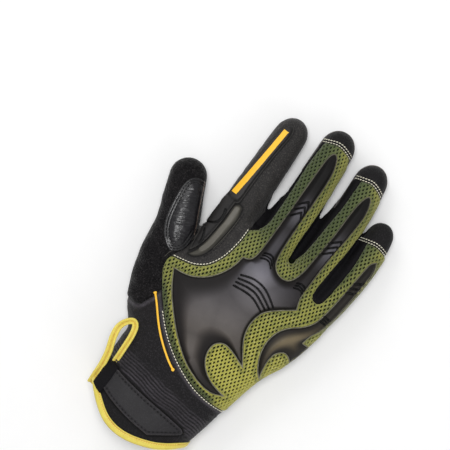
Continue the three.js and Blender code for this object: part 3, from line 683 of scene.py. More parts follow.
def fromSpot(points, x, y):
    return np.hypot(points[:, 0] - x, points[:, 1] - y)


def smoothStep(low, high, value):
    t = np.clip((value - low) / (high - low), 0, 1)
    return t * t * (3 - 2 * t)


def bell(distance, middle, half):
    # one at the middle, gone at about twice the half width away
    return np.exp(-((distance - middle) / half) ** 2)


def noiseAt(points, scale, seed):
    offset = Vector((seed * 17.3, seed * 5.1, seed * 9.7))
    return np.array([noise.noise(Vector(p) * scale + offset) for p in points])


knuckleGuardEdge = [
    [(-54.5, -18), (-45, -33), (-35, -45), (-25, -55), (-12, -65), (2, -71.2), (14, -72.8),
     (24.5, -69.5)],
    [(24.5, -69.5), (12, -66.5), (3, -61), (-1.8, -53.5), (-2, -45.5), (3, -41.2), (11, -42.5),
     (23.5, -47.8)],
    [(23.5, -47.8), (17.5, -39), (12, -29.5), (10.2, -20), (12.3, -10.5), (18.5, -3.8), (30.5, 4.8)],
    [(30.5, 4.8), (28, 12), (28, 22), (28.7, 40), (31, 64), (32, 82), (30, 92.5), (27, 95.6),
     (24.3, 91), (22.8, 80), (22, 60), (20.3, 40), (18.8, 27), (15.5, 19.5), (10, 17), (4, 19.3),
     (0.3, 26), (-0.8, 40), (-1, 65), (-1.6, 90), (-4.5, 102.5), (-8.3, 106), (-11, 101),
     (-11.6, 85), (-11.7, 55), (-12.3, 28), (-14.5, 16.5), (-20, 13.9)],
    [(-20, 13.9), (-21.6, 6), (-25.5, -2.5), (-31.5, -10), (-40, -15.6), (-48, -17.6),
     (-54.5, -18)],
]
sideGuardEdge = [
    [(56.5, 62.6), (53.2, 58.5), (51.6, 48), (49.9, 32), (47.3, 14), (44.6, 5), (39.5, -1.5),
     (32, -7.6), (27, -15), (25.1, -25), (27.2, -35.5), (32, -44), (36.3, -48)],
    [(36.3, -48), (34.6, -42), (33.8, -34), (35, -27.5), (39, -23.6), (43, -24.2), (46.5, -27.5)],
    [(46.5, -27.5), (49.5, -19), (51.5, -10.5)],
    [(51.5, -10.5), (46.3, -10.5)],
    [(46.3, -10.5), (47.8, -4.5), (51, 1.5), (53.4, 8), (55, 16), (57, 30), (58.5, 44), (58.6, 55),
     (56.5, 62.6)],
]
indexGuardEdge = [
    [(-44.5, 40.4), (-42.2, 43), (-42, 60), (-41, 80), (-39.4, 97), (-40, 102.5), (-42.8, 105),
     (-45.8, 103), (-47.8, 96), (-49.6, 75), (-50.8, 52), (-53, 36), (-53.6, 20), (-53, 6),
     (-51.6, -3.2)],
    [(-51.6, -3.2), (-48.4, 2.4), (-46.2, 10), (-44.9, 22), (-44.5, 40.4)],
]
indexClawEdge = [
    [(-44, 37.6), (-43, 40), (-40.8, 41), (-38.4, 40)],
    [(-38.4, 40), (-37, 33), (-37.3, 25), (-38.3, 16), (-39.8, 6.5), (-42.6, -0.6), (-47, -4.7),
     (-51.2, -5.6)],
    [(-51.2, -5.6), (-48.9, -2.2), (-47, 1.8), (-45.8, 8.5), (-44.7, 17), (-43.8, 26), (-44, 37.6)],
]
labelEdge = [
    [(-50.5, -93.5), (-38, -96.2), (-20, -99), (0, -101.2), (11.5, -103)],
    [(11.5, -103), (14.2, -105), (12.4, -107.8)],
    [(12.4, -107.8), (-4.5, -118.6)],
    [(-4.5, -118.6), (-20, -117), (-36, -113.5), (-50.5, -108.5)],
    [(-50.5, -108.5), (-50.5, -93.5)],
]
tabBandEdge = [
    [(-52.6, -92.2), (-44.6, -93.6)],
    [(-44.6, -93.6), (-44.2, -103), (-45.2, -114.4)],
    [(-45.2, -114.4), (-49, -113.4), (-52.8, -111.4)],
    [(-52.8, -111.4), (-52.6, -92.2)],
]
meshIndexSeam = [(-26.4, 31), (-26.9, 20), (-29.7, 6.8), (-35.2, -3.3), (-42.7, -8.9), (-51, -11.3),
                 (-59.4, -12.6)]
meshCuffSeam = [(-60.6, -16.5), (-58.8, -24), (-52, -34.5), (-42, -46.5), (-30, -58), (-16, -67.6),
                (0, -75), (14, -78.2), (30, -78.8), (44, -77)]
meshSeam = [
    meshCuffSeam,
    [(44, -77), (72, -20), (72, 66)],
    [(72, 66), (60, 68.4), (51, 70.3), (43.8, 69.2)],
    [(43.8, 69.2), (45, 55), (44.4, 40), (43, 27), (41.6, 19), (38, 16.2), (34.6, 18), (33.3, 24),
     (34.6, 42), (36.3, 60), (37, 82), (35.4, 95), (34, 99.4)],
    [(34, 99.4), (24.6, 102.8), (16.6, 101.4)],
    [(16.6, 101.4), (16.3, 80), (14.9, 60), (13.4, 42), (11.6, 34), (8.6, 31.4), (6, 35), (5.4, 55),
     (5.2, 80), (3.8, 100), (1.2, 109)],
    [(1.2, 109), (-8.8, 111.4), (-18.4, 108.6)],
    [(-18.4, 108.6), (-18.9, 92), (-18.3, 70), (-18, 50), (-18.6, 41), (-21, 35.6), (-26.4, 31)],
    meshIndexSeam,
    [(-59.4, -12.6), (-60.6, -16.5)],
]
indexSeam = [
    meshIndexSeam,
    [(-59.4, -12.6), (-54.4, -4), (-53, 8)],
    [(-53, 8), (-58, 30), (-60, 120)],
    [(-60, 120), (-23.5, 120)],
    [(-23.5, 120), (-23.5, 60), (-26.4, 31)],
]
thumbSeam = [
    [(-59.4, -12.6), (-54.4, -4), (-53, 8)],
    [(-53, 8), (-60, 60)],
    [(-60, 60), (-110, 60)],
    [(-110, 60), (-110, -52)],
    [(-110, -52), (-64, -53), (-55.5, -46), (-51.5, -35.2)],
    [(-51.5, -35.2), (-58.8, -24), (-60.6, -16.5)],
    [(-60.6, -16.5), (-59.4, -12.6)],
]
thumbPatchEdge = [
    [(-69.5, 40.2), (-75.5, 39.4), (-79.4, 34.5), (-79.8, 24), (-77.2, 8), (-73, -2), (-67, -8.4),
     (-62, -10.8)],
    [(-62, -10.8), (-57.6, -8), (-54.4, -2), (-54.6, 7.4)],
    [(-54.6, 7.4), (-62.2, 23), (-69.5, 40.2)],
]
capSeams = {
    "middle": [(-24, 107), (-17.6, 108.9), (-8.8, 111.4), (1.2, 109), (6, 106.6)],
    "ring": [(10.5, 99.8), (16.6, 101.4), (24.6, 102.8), (34, 99.4), (38, 97)],
    "little": [(38.3, 67.8), (43.8, 69.2), (51, 70.3), (60, 68.4), (64, 66.8)],
}
gussetRooms = {
    "indexMiddle": [(-30, 12), (-13, 12), (-13, 121), (-30, 121)],
    "middleRing": [(-2, 12), (20, 12), (20, 121), (-2, 121)],
    "ringLittle": [(29, 4), (47, 4), (47, 116), (29, 116)],
}
wristThumbSide = [[(-120, -108), (-57, -110.2)], [(-57, -110.2), (-53.4, -112.6)]]
wristLittleSide = [[(18.2, -115.6), (22, -112.9)], [(22, -112.9), (90, -100)]]
wristBack = [(-53.4, -112.6), (-45, -120), (-35, -126.6), (-24, -129.6), (-12, -129), (2, -125),
             (11, -120.6), (18.2, -115.6)]
wristPalm = [(-53.4, -112.6), (-40, -115.4), (-20, -117.6), (2, -117.4), (18.2, -115.6)]
beyondFingers = [[(90, -100), (90, 140)], [(90, 140), (-120, 140)], [(-120, 140), (-120, -108)]]
palmPatchEdge = [
    [(-34, 30), (-37, 12), (-34, -12), (-22, -38), (-6, -50), (10, -48)],
    [(10, -48), (20, -38), (26, -14), (28, 6)],
    [(28, 6), (24, 16), (17, 16.5), (11, 9), (4.5, 16), (-4, 20.5), (-12, 18), (-17, 10),
     (-22, 14), (-25, 26), (-29.5, 32.5), (-34, 30)],
]
tipPads = {
    "middle": [[(-20, 84.5), (-4.5, 97.5), (5.5, 92)], [(5.5, 92), (5.5, 128)],
               [(5.5, 128), (-24, 128)], [(-24, 128), (-20, 84.5)]],
    "ring": [[(12, 76), (27, 88), (38.5, 83)], [(38.5, 83), (38.5, 122)], [(38.5, 122), (9, 122)],
             [(9, 122), (12, 76)]],
}


# cutting a surface along lines: what counts as far from one, as on one, and as high enough;
# how much is kept round a patch until it is cut, and how far its faces may turn away
cutting = {"far": 50.0, "on": 0.07, "slack": 0.02, "margin": 3.0, "turned": -0.05}


def cutAlong(bm, field, low=-99.0):
    # new edges where a field over the surface is zero, above a height
    points = pointsOf(bm)
    high = points[:, 2] > low - cutting["slack"]
    values = np.full(len(points), cutting["far"])
    values[high] = field(points[high])
    values = np.where(np.abs(values) < cutting["on"], 0.0, values)
    bm.verts.index_update()
    bm.edges.ensure_lookup_table()
    bm.verts.ensure_lookup_table()
    ends = np.array([(e.verts[0].index, e.verts[1].index) for e in bm.edges])
    first = values[ends[:, 0]]
    second = values[ends[:, 1]]
    crossing = np.nonzero((first * second < 0) & high[ends[:, 0]] & high[ends[:, 1]])[0]
    onLine = [bm.verts[i] for i in np.nonzero((values == 0) & high)[0]]
    edges = [bm.edges[i] for i in crossing]
    made = []
    for edge, a, b in zip(edges, first[crossing], second[crossing]):
        made.append(bmesh.utils.edge_split(edge, edge.verts[0], a / (a - b))[1])
    if made or onLine:
        bmesh.ops.connect_verts(bm, verts=made + onLine)


def faceCentres(bm):
    return np.array([f.calc_center_median()[:] for f in bm.faces]).reshape(-1, 3)


def removeFaces(bm, unwanted):
    doomed = [f for f, out in zip(bm.faces, unwanted) if out]
    bmesh.ops.delete(bm, geom=doomed, context="FACES")


def planField(curves, closed=True):
    # the distance field of a line, exact up to a few millimetres beyond it
    line = smoothLine(curves, closed)
    low = line.min(axis=0) - 4
    high = line.max(axis=0) + 4

    def field(points):
        near = np.all((points[:, :2] > low) & (points[:, :2] < high), axis=1)
        values = np.full(len(points), cutting["far"])
        values[near] = distanceTo(points[near, :2], line, closed)
        return values
    return field


def wristField(shift):
    # negative on the glove's side of the wrist edge, moved towards the fingers
    middle = gloveTubes["hand"]["rows"][1][2]
    back = smoothLine([*wristThumbSide, wristBack, *wristLittleSide, *beyondFingers])
    palm = smoothLine([*wristThumbSide, wristPalm, *wristLittleSide, *beyondFingers])

    def field(points):
        flat = points[:, :2] - np.array([0.0, shift])
        return np.where(points[:, 2] > middle, distanceTo(flat, back, True), distanceTo(flat, palm, True))
    return field


def addPiece(name, bm, material, slot, node=None, extra=()):
    # a finished piece in the frame, from a shape in pattern millimetres
    mesh = meshOf(bm, name)
    mesh.transform(toFrame)
    for look in (material, *extra):
        mesh.materials.append(materials[look])
    mesh.shade_smooth()
    piece = linked(name, mesh)
    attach(piece, "root")
    if node:
        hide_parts(node)
    return piece


# sewn panels
usualPanel = {"material": "capCloth", "slot": "neoprene", "low": cloth["backSeamHeight"]}
strip = {"material": "stripCloth", "low": cloth["gussetFoot"]}
panelSettings = {
    "capMiddle": {"node": "cap_middle"},
    "capRing": {"node": "cap_ring"},
    "capLittle": {"node": "cap_little"},
    "indexBack": {"node": "index_back", "material": "indexCloth"},
    "thumbBack": {"node": "thumb_back", "material": "terry", "slot": "terry"},
    "meshBack": {"node": "back_mesh", "material": "meshBacking", "slot": "mesh"},
    "gussetIndexMiddle": {"node": "gusset_index_middle", **strip},
    "gussetMiddleRing": {"node": "gusset_middle_ring", **strip},
    "gussetRingLittle": {"node": "gusset_ring_little", **strip},
    "cuffBack": {"node": "cuff_back", "material": "elastic", "slot": "elastic"},
    "cuffPalm": {"node": "cuff_palm", "material": "elastic", "slot": "elastic", "low": -99.0},
    "palmCloth": {"node": "palm", "material": "suede", "slot": "palm_suede", "low": -99.0},
}
panelSettings = {name: {**usualPanel, **own} for name, own in panelSettings.items()}


def capOutline(seam):
    # from the cap's seam to well beyond the fingertip
    (left, leftHeight), (right, rightHeight) = seam[0], seam[-1]
    farLeft = (left, leftHeight + cloth["capReach"])
    farRight = (right, rightHeight + cloth["capReach"])
    return [seam, [seam[-1], farRight], [farRight, farLeft], [farLeft, seam[0]]]


def roomOutline(corners):
    return [[corners[i], corners[(i + 1) % len(corners)]] for i in range(len(corners))]


panelOutlines = {
    "capMiddle": capOutline(capSeams["middle"]),
    "capRing": capOutline(capSeams["ring"]),
    "capLittle": capOutline(capSeams["little"]),
    "indexBack": indexSeam,
    "thumbBack": thumbSeam,
    "meshBack": meshSeam,
    "gussetIndexMiddle": roomOutline(gussetRooms["indexMiddle"]),
    "gussetMiddleRing": roomOutline(gussetRooms["middleRing"]),
    "gussetRingLittle": roomOutline(gussetRooms["ringLittle"]),
    "cuffBack": roomOutline([(-130, -150), (90, -150), (90, -20), (-130, -20)]),
    "cuffPalm": roomOutline([(-130, -150), (90, -150), (90, -80), (-130, -80)]),
}

# creases: line, depth, width, and on which side of the glove
creases = [
    ([(-66, -54), (-58, -57), (-49, -51)], 0.6, 1.8, "back"),
    ([(-62, -62), (-53, -64), (-42, -57)], 0.5, 1.6, "back"),
    ([(-53, 62), (-40, 60), (-27, 63)], 0.35, 1.6, "back"),
    ([(-36, 58), (-31, 50), (-28, 38)], 0.5, 1.5, "back"),
    ([(-38, 76), (-32, 70), (-27, 60)], 0.35, 1.5, "back"),
    ([(-92, 12), (-84, 10), (-79, 14)], 0.5, 1.8, "back"),
    ([(-84, -8), (-76, -14), (-66, -14)], 0.5, 2.0, "back"),
    ([(-80, -26), (-70, -30), (-60, -24)], 0.45, 2.2, "back"),
    ([(-72, -42), (-64, -46), (-56, -42)], 0.45, 1.8, "back"),
    ([(-54, 60), (-40, 57), (-26, 60)], 1.0, 1.6, "palm"),
    ([(-53, 84), (-40, 82), (-28, 84)], 0.8, 1.4, "palm"),
    ([(-22, 66), (-7, 62), (8, 66)], 1.0, 1.6, "palm"),
    ([(10, 60), (24, 57), (38, 60)], 1.0, 1.6, "palm"),
    ([(38, 44), (49, 41), (61, 44)], 0.9, 1.5, "palm"),
    ([(-92, 14), (-78, 10), (-64, 12)], 1.0, 1.6, "palm"),
    ([(-62, -34), (-44, -30), (-30, -44), (-24, -66)], 1.1, 2.0, "palm"),
    ([(34, -30), (46, -20), (54, -14)], 0.9, 1.8, "palm"),
    ([(-50, -76), (-20, -72), (10, -76)], 0.8, 1.8, "palm"),
]
# the squeezed band of the cuff: where it starts and ends, its slanted pleats and their fan, and the painted
# highlight on the pleats' ridges
gathers = {"from": (-82.5, -86.5), "to": (-103.5, -100.5), "pitch": 2.1, "depth": 0.95, "slope": 0.13,
           "fan": 0.004, "middle": (-20, -92), "wander": (2.6, 0.055), "jitter": (0.45, 0.15),
           "sharpness": 1.6, "floor": 0.45, "strength": (0.75, 0.8, 0.07), "light": (0.1, 0.6)}
# the broad waves that run on over the rest of the cuff
outerWaves = {"pitch": 5.2, "height": 0.3, "wander": (2.2, 0.04), "from": (-66, -76), "to": (-112, -100)}
ribs = {"first": -80.0, "pitch": 7.4, "height": 1.15, "count": 4, "sharpness": 0.8, "below": (15.0, 9.0)}


def clothRelief(points, normals):
    # how far the sewn cloth stands off the plain form, and where a highlight is painted along the ridges of
    # its pleats
    onSide = {"back": smoothStep(*cloth["facing"], normals[:, 2]),
              "palm": smoothStep(*cloth["facing"], -normals[:, 2])}

    def wavy(size, scale, seed, squeeze=1.0):
        return size * noiseAt(points * (1, squeeze, 1), scale, seed)
    relief = wavy(*cloth["warp"], 1) + wavy(*cloth["rumple"], 2)
    for line, depth, width, side in creases:
        distance = fromLine(points, line)
        fold = bell(distance, 0, width)
        fold -= cloth["foldSwell"] * bell(distance, cloth["swellAt"] * width, width)
        relief -= depth * fold * onSide[side]
    x, y, z = points.T
    aside = x - gathers["middle"][0]
    down = y + gathers["slope"] * aside
    down += gathers["fan"] * aside * (down - gathers["middle"][1])
    inGathers = smoothStep(*gathers["from"], down) * smoothStep(*gathers["to"], down)
    waves = wavy(*gathers["wander"], 3, 0.6) + wavy(*gathers["jitter"], 10, 0.6)
    along = (down + waves) / gathers["pitch"]
    pleats = np.abs(np.cos(math.pi * along)) ** gathers["sharpness"] - gathers["floor"]
    least, more, scale = gathers["strength"]
    strength = least + wavy(more, scale, 4)
    gathered = inGathers * onSide["back"]
    relief += gathers["depth"] * pleats * gathered * strength
    # a painted highlight along the pleats' ridges
    rise, most = gathers["light"]
    ridges = np.clip(pleats + rise, 0, most) / most * gathered * np.clip(strength, 0, 1)
    along = (down + wavy(*outerWaves["wander"], 7, 0.5)) / outerWaves["pitch"]
    outer = smoothStep(*outerWaves["from"], y) * (1 - inGathers) * smoothStep(*outerWaves["to"], y)
    relief += outerWaves["height"] * np.sin(2 * math.pi * along) * outer * onSide["back"]
    rib = (ribs["first"] - y) / ribs["pitch"]
    rounded = np.abs(np.sin(math.pi * rib)) ** ribs["sharpness"]
    ribbed = np.where((rib > 0) & (rib < ribs["count"]), rounded, 0)
    relief += ribs["height"] * ribbed * smoothStep(*ribs["below"], z)
    return relief, ridges


# the shadow painted on the cloth beside a raised piece, and how far it reaches, and the cloth darkened
# below the tab
shadows = {"lines": [(labelEdge, 1.5), (indexClawEdge, 1.0), (indexGuardEdge, 0.8), (tabBandEdge, 1.0)],
           "depth": 0.95, "above": 14, "belowTab": (-110.0, -115.0), "belowTabDepth": 0.3}


def sewPanels():
    bm = shapeOf(skinMesh)
    triangulate(bm)
    wrist = wristField(cloth["hem"])
    cutAlong(bm, wrist)
    removeFaces(bm, wrist(faceCentres(bm)) > 0)
    for height in (cloth["backSeamHeight"], cloth["gussetFoot"]):
        cutAlong(bm, lambda points: height - points[:, 2])
    owner = bm.faces.layers.int.new("owner")
    for number, (name, curves) in enumerate(panelOutlines.items(), 1):
        inside = planField(curves)
        low = panelSettings[name]["low"]
        cutAlong(bm, inside, low)
        free = [f for f in bm.faces if f[owner] == 0]
        centres = np.array([f.calc_center_median()[:] for f in free])
        high = centres[:, 2] > low
        taken = np.zeros(len(free), bool)
        taken[high] = inside(centres[high]) < 0
        for face, mine in zip(free, taken):
            if mine:
                face[owner] = number
    triangulate(bm)
    finer = [e for e in bm.edges if max(v.co.y for v in e.verts) < cloth["finerBelow"]]
    bmesh.ops.subdivide_edges(bm, edges=finer, cuts=1, use_grid_fill=True)
    triangulate(bm)
    bm.normal_update()
    points = pointsOf(bm)
    normals = np.array([v.normal[:] for v in bm.verts])
    seams = set()
    for edge in bm.edges:
        if len({f[owner] for f in edge.link_faces}) > 1:
            seams.update(v.index for v in edge.verts)
    distance = nearestDistances(points, points[sorted(seams)])
    relief, ridges = clothRelief(points, normals)
    width = cloth["seamWidth"]
    relief -= cloth["seamDepth"] * bell(distance, 0, width)
    relief += cloth["seamSwell"] * bell(distance, cloth["swellAt"] * width, width)
    # lighter wear beside the seams and a painted highlight on the pleats' ridges; painted shadow beside
    # raised pieces and darker cloth below the tab
    light = np.maximum(bell(distance, *cloth["seamLight"]), ridges)
    shadow = np.zeros(len(points))
    onTop = points[:, 2] > shadows["above"]
    for curves, reach in shadows["lines"]:
        away = np.maximum(fromOutline(points, curves), 0)
        shadow = np.maximum(shadow, shadows["depth"] * np.exp(-(away / reach) ** 4) * onTop)
    belowTab = smoothStep(*shadows["belowTab"], points[:, 1]) * onTop
    shadow = np.maximum(shadow, shadows["belowTabDepth"] * belowTab)
    paint(bm, {"edge": light * (1 - shadow), "hollow": shadow})
    for vert, move, normal in zip(bm.verts, relief, normals):
        vert.co += Vector(normal) * move
        vert.co.z = max(vert.co.z, cloth["lowest"])
    return bm, owner


def separatePanels(bm, owner):
    # each panel's faces as a shape of its own
    names = ["palmCloth", *panelOutlines]
    for face in bm.faces:
        face.material_index = face[owner]
    mesh = meshOf(bm, "sewnCloth")
    for name in names:
        mesh.materials.append(materials[panelSettings[name]["material"]].copy())
    selectOnly(linked("sewnCloth", mesh))
    bpy.ops.object.mode_set(mode="EDIT")
    bpy.ops.mesh.select_all(action="SELECT")
    bpy.ops.mesh.separate(type="MATERIAL")
    bpy.ops.object.mode_set(mode="OBJECT")
    made = {}
    for part in bpy.context.selected_objects[:]:
        shape = shapeOf(part.data)
        layer = shape.faces.layers.int["owner"]
        name = names[next(iter(shape.faces))[layer]]
        for face in shape.faces:
            face.material_index = 0
        made[name] = shape
        bpy.data.objects.remove(part)
    return made


wholeCloth, ownerLayer = sewPanels()
clothTree = BVHTree.FromBMesh(wholeCloth)
panels = separatePanels(wholeCloth, ownerLayer)
for name, settings in panelSettings.items():
    piece = addPiece(name, panels[name], settings["material"], settings["slot"], settings["node"])
    wall = piece.modifiers.new("wall", "SOLIDIFY")
    wall.thickness = cloth["wall"] / 1000
    wall.offset = -1
print("panels:", {name: len(part.faces) for name, part in panels.items()})


# pieces that lie on the cloth
def patchOn(curves, low, high, facing=0):
    # the stretch of skin inside an outline, refined, cut along the outline and left open
    inside = planField(curves)
    bm = shapeOf(skinMesh)
    centres = faceCentres(bm)
    margin = cutting["margin"]
    far = (inside(centres) > margin) | (centres[:, 2] < low - margin) | (centres[:, 2] > high + margin)
    removeFaces(bm, far)
    if facing:
        bm.normal_update()
        removeFaces(bm, [f.normal.z * facing < cutting["turned"] for f in bm.faces])
    bm = refined(bm)
    triangulate(bm)
    for field in (inside, lambda points: low - points[:, 2], lambda points: points[:, 2] - high):
        cutAlong(bm, field)
        removeFaces(bm, field(faceCentres(bm)) > 0)
    keepBiggest(bm)
    return bm


def keepBiggest(bm):
    # stray bits that a cut leaves go
    left = set(bm.faces)
    best = set()
    while left:
        island = set()
        front = [next(iter(left))]
        while front:
            face = front.pop()
            if face in island:
                continue
            island.add(face)
            for edge in face.edges:
                front.extend(f for f in edge.link_faces if f not in island)
        left -= island
        if len(island) > len(best):
            best = island
    bmesh.ops.delete(bm, geom=[f for f in bm.faces if f not in best], context="FACES")


def newVerts(made):
    return [item for item in made["geom"] if isinstance(item, bmesh.types.BMVert)]


def raisePatch(bm, heights, masks):
    # an open patch made into a closed piece that stands on the cloth
    stand = bm.verts.layers.float_vector.new("stand")
    paint(bm, {**masks, "height": heights})
    height = bm.verts.layers.float["height"]
    bm.normal_update()
    for vert in bm.verts:
        vert[stand] = vert.normal
    under = bm.verts[:]
    made = bmesh.ops.extrude_face_region(bm, geom=bm.faces[:], use_keep_orig=True)
    for vert in newVerts(made):
        vert.co += vert[stand] * vert[height]
    for vert in under:
        vert.co -= vert[stand] * cloth["sunk"]
    bmesh.ops.recalc_face_normals(bm, faces=bm.faces[:])


# in each guard: fingerFade dims the lip's painted highlight toward the fingers, fingerShade and edgeShade
# paint shade on the far finger arms and along the outermost edge, and shine lists spots of painted
# highlight: x, y, reach and amount
usualGuard = {"slot": "guard_rubber", "low": 14.0, "high": 99.0, "fingerFade": 0.0, "fingerShade": 0.0,
              "edgeShade": 0.0, "rimAt": 0.46, "step": 0.5, "ridgeHalf": 0.6, "plateaus": [],
              "grooves": [], "chevrons": [], "print": []}
guards = {
    "knuckleGuard": {
        "node": "knuckle_guard", "material": "guardRubber",
        "low": 12.0, "fingerFade": 0.45, "fingerShade": 0.7, "edgeShade": 0.9,
        "edge": knuckleGuardEdge, "rim": 1.35, "step": 0.6, "crown": 4.0, "ridgeHalf": 1.6,
        "shine": [(-3, 9, 13, 1.0), (2, -3, 20, 0.66), (-18, -34, 24, 0.63), (-3, -30, 26, 0.64),
                  (-15, -55, 16, 0.62), (-2, 30, 16, 0.26), (-4, 59, 10, 0.46), (27, 50, 10, 0.46)],
        "tips": [(24.5, -69.5, 17), (23.5, -47.8, 9), (30.5, 4.8, 7), (-54.5, -18, 13),
                 (-8.3, 106, 14), (27, 95.6, 13)],
        "plateaus": [
            [(-29, -33), (-28.2, -29.2), (-24, -25), (-19.5, -20), (-16, -14), (-14, -5), (-14, 12),
             (-10, 13.5), (-5, 18), (0, 14), (5, 11), (10, 10), (15, 10.5), (19, 13), (21, 14.5),
             (25, 15), (27, 10), (27.2, 6), (15.5, -1.5), (9.3, -9.5), (7.2, -19), (8.6, -29),
             (13, -37), (18, -43.5), (8, -37), (2, -34.5), (-5, -34), (-12, -36.5), (-16.5, -44),
             (-14, -50), (-11, -56.5), (-7.5, -62), (-14, -58), (-18.5, -52), (-22.5, -46),
             (-27, -38.5)]],
        "ridges": [
            [(-5.8, 18), (-5.6, 40), (-5.6, 70), (-6.4, 92), (-7.6, 101)],
            [(24, 14), (24.4, 24), (25.5, 42), (27, 64), (27.8, 80), (27.4, 90)],
            [(-8, -62), (2, -67.5), (12, -69.8), (19, -69.6)]],
        "grooves": [
            [(-14, 3), (-5, 5.5), (5, 4), (15.8, -2.6)], [(-14, 0.2), (-5, 2), (3, 1), (14.4, -5)],
            [(-14, -2.6), (-5, -1.2), (2, -2), (12.4, -7)],
            [(-14, -5.4), (-5, -4.6), (2, -5.4), (10.4, -9.4)],
            [(-9.5, 23.5), (-7, 25), (-4, 25), (-0.5, 22)],
            [(-9.5, 21.5), (-6, 22.8), (-3, 22), (-0.5, 19.5)],
            [(-9.5, 19), (-6, 20), (-3, 19.5), (-0.5, 17)],
            [(20, 19.5), (23, 21), (25.5, 20.5), (27, 18.5)],
            [(19.8, 17.5), (23, 18.8), (25.5, 17.8), (26.8, 16)],
            [(19.5, 15.3), (23, 16.5), (25.5, 15.8), (26.5, 14.5)]],
        "chevrons": [
            [(-10.8, 62), (-5, 68.4), (-1.2, 61.5)], [(-11, 57.4), (-5, 64.2), (-1.2, 57)],
            [(-11, 52.2), (-5, 60), (-1.2, 52.4)], [(22.6, 53.8), (27.9, 59.4), (30.6, 54.2)],
            [(22, 48.8), (27.8, 55), (30.4, 49.8)], [(21.4, 43.8), (27.6, 50.6), (30, 45.2)]]},
    "sideGuard": {
        "node": "side_guard", "material": "sideRubber",
        "low": 16.0, "fingerFade": 0.4, "fingerShade": 0.3, "edgeShade": 0.9,
        "edge": sideGuardEdge, "rim": 1.3, "crown": 3.4,
        "shine": [(38, -15, 15, 0.85)],
        "tips": [(36.3, -48, 12), (46.5, -27.5, 9), (56.5, 62.6, 12)],
        "ridges": [[(55.6, 57), (54.4, 42), (52.6, 24), (49.8, 9), (46, -2), (40, -10), (34, -17),
                    (30.4, -26), (31, -36), (33, -42)]],
        "chevrons": [
            [(52, 41.5), (58, 47)], [(51.5, 37.5), (58, 42.5)], [(51, 33.5), (57.5, 38.5)],
            [(48, 12), (53, 12)], [(48, 10), (53, 10)], [(47.6, 8), (52.6, 8)]]},
    "indexGuard": {
        "node": "index_guard", "material": "greyRubber", "slot": "grey_rubber",
        "edge": indexGuardEdge, "rim": 0.9, "crown": 2.6,
        "shine": [(-46, 60, 40, 0.5)],
        "tips": [(-51.6, -3.2, 8)],
        "plateaus": [[(-50.5, 44), (-44, 44), (-43.4, 60), (-42.4, 80), (-41, 97), (-42.6, 102),
                      (-45, 100), (-48, 76), (-49.6, 54)]],
        "ridges": [[(-50, 40), (-49.4, 22), (-49.6, 6)]],
        "print": [[(-49.4, 45.6), (-47.9, 62), (-46.3, 82), (-45.0, 99.6)],
                  [(-45.0, 99.6), (-42.0, 99.3)],
                  [(-42.0, 99.3), (-43.3, 82), (-44.8, 62), (-46.3, 45.4)],
                  [(-46.3, 45.4), (-49.4, 45.6)]],
        "grooves": [[(-52.4, 18.8), (-50, 19.8), (-47.6, 21.5), (-46, 24.8), (-45.7, 29), (-46.6, 33)],
                    [(-50.8, 15.3), (-49.4, 12.5), (-48.2, 8.1), (-47.9, 2.5), (-49.2, -1.6)]]},
    "indexClaw": {
        "node": "index_claw", "material": "paleRubber", "slot": "pale_rubber",
        "edge": indexClawEdge, "rim": 0.55, "rimAt": 0.0, "crown": 2.7, "ridgeHalf": 1.5,
        "shine": [(-41, 25, 40, 0.5)],
        "tips": [(-51.2, -5.6, 8)],
        "ridges": [[(-41, 37.5), (-41.2, 20), (-42.4, 8), (-44.6, 2)]]},
}
guards = {name: {**usualGuard, **own} for name, own in guards.items()}
# what all guards share, by the depth inside the outline: the lip's form, and where its painted highlight
# and painted shade lie
lip = {"foot": 0.45, "height": 0.65, "reach": 0.28, "top": 0.62, "ditch": 0.4, "ditchAt": 0.2,
       "ditchHalf": 0.3, "shade": 0.85, "shadeHalf": 0.34, "stepReach": 0.6, "tip": 0.9, "straight": 0.4,
       "lightHalf": 0.36, "darkEdge": 0.16, "onFingers": (12.0, 32.0), "fingertips": (58.0, 84.0)}
grooveForm = {"half": 0.78, "floor": 0.351, "depth": 1.6, "least": 0.5, "shade": 2.4}


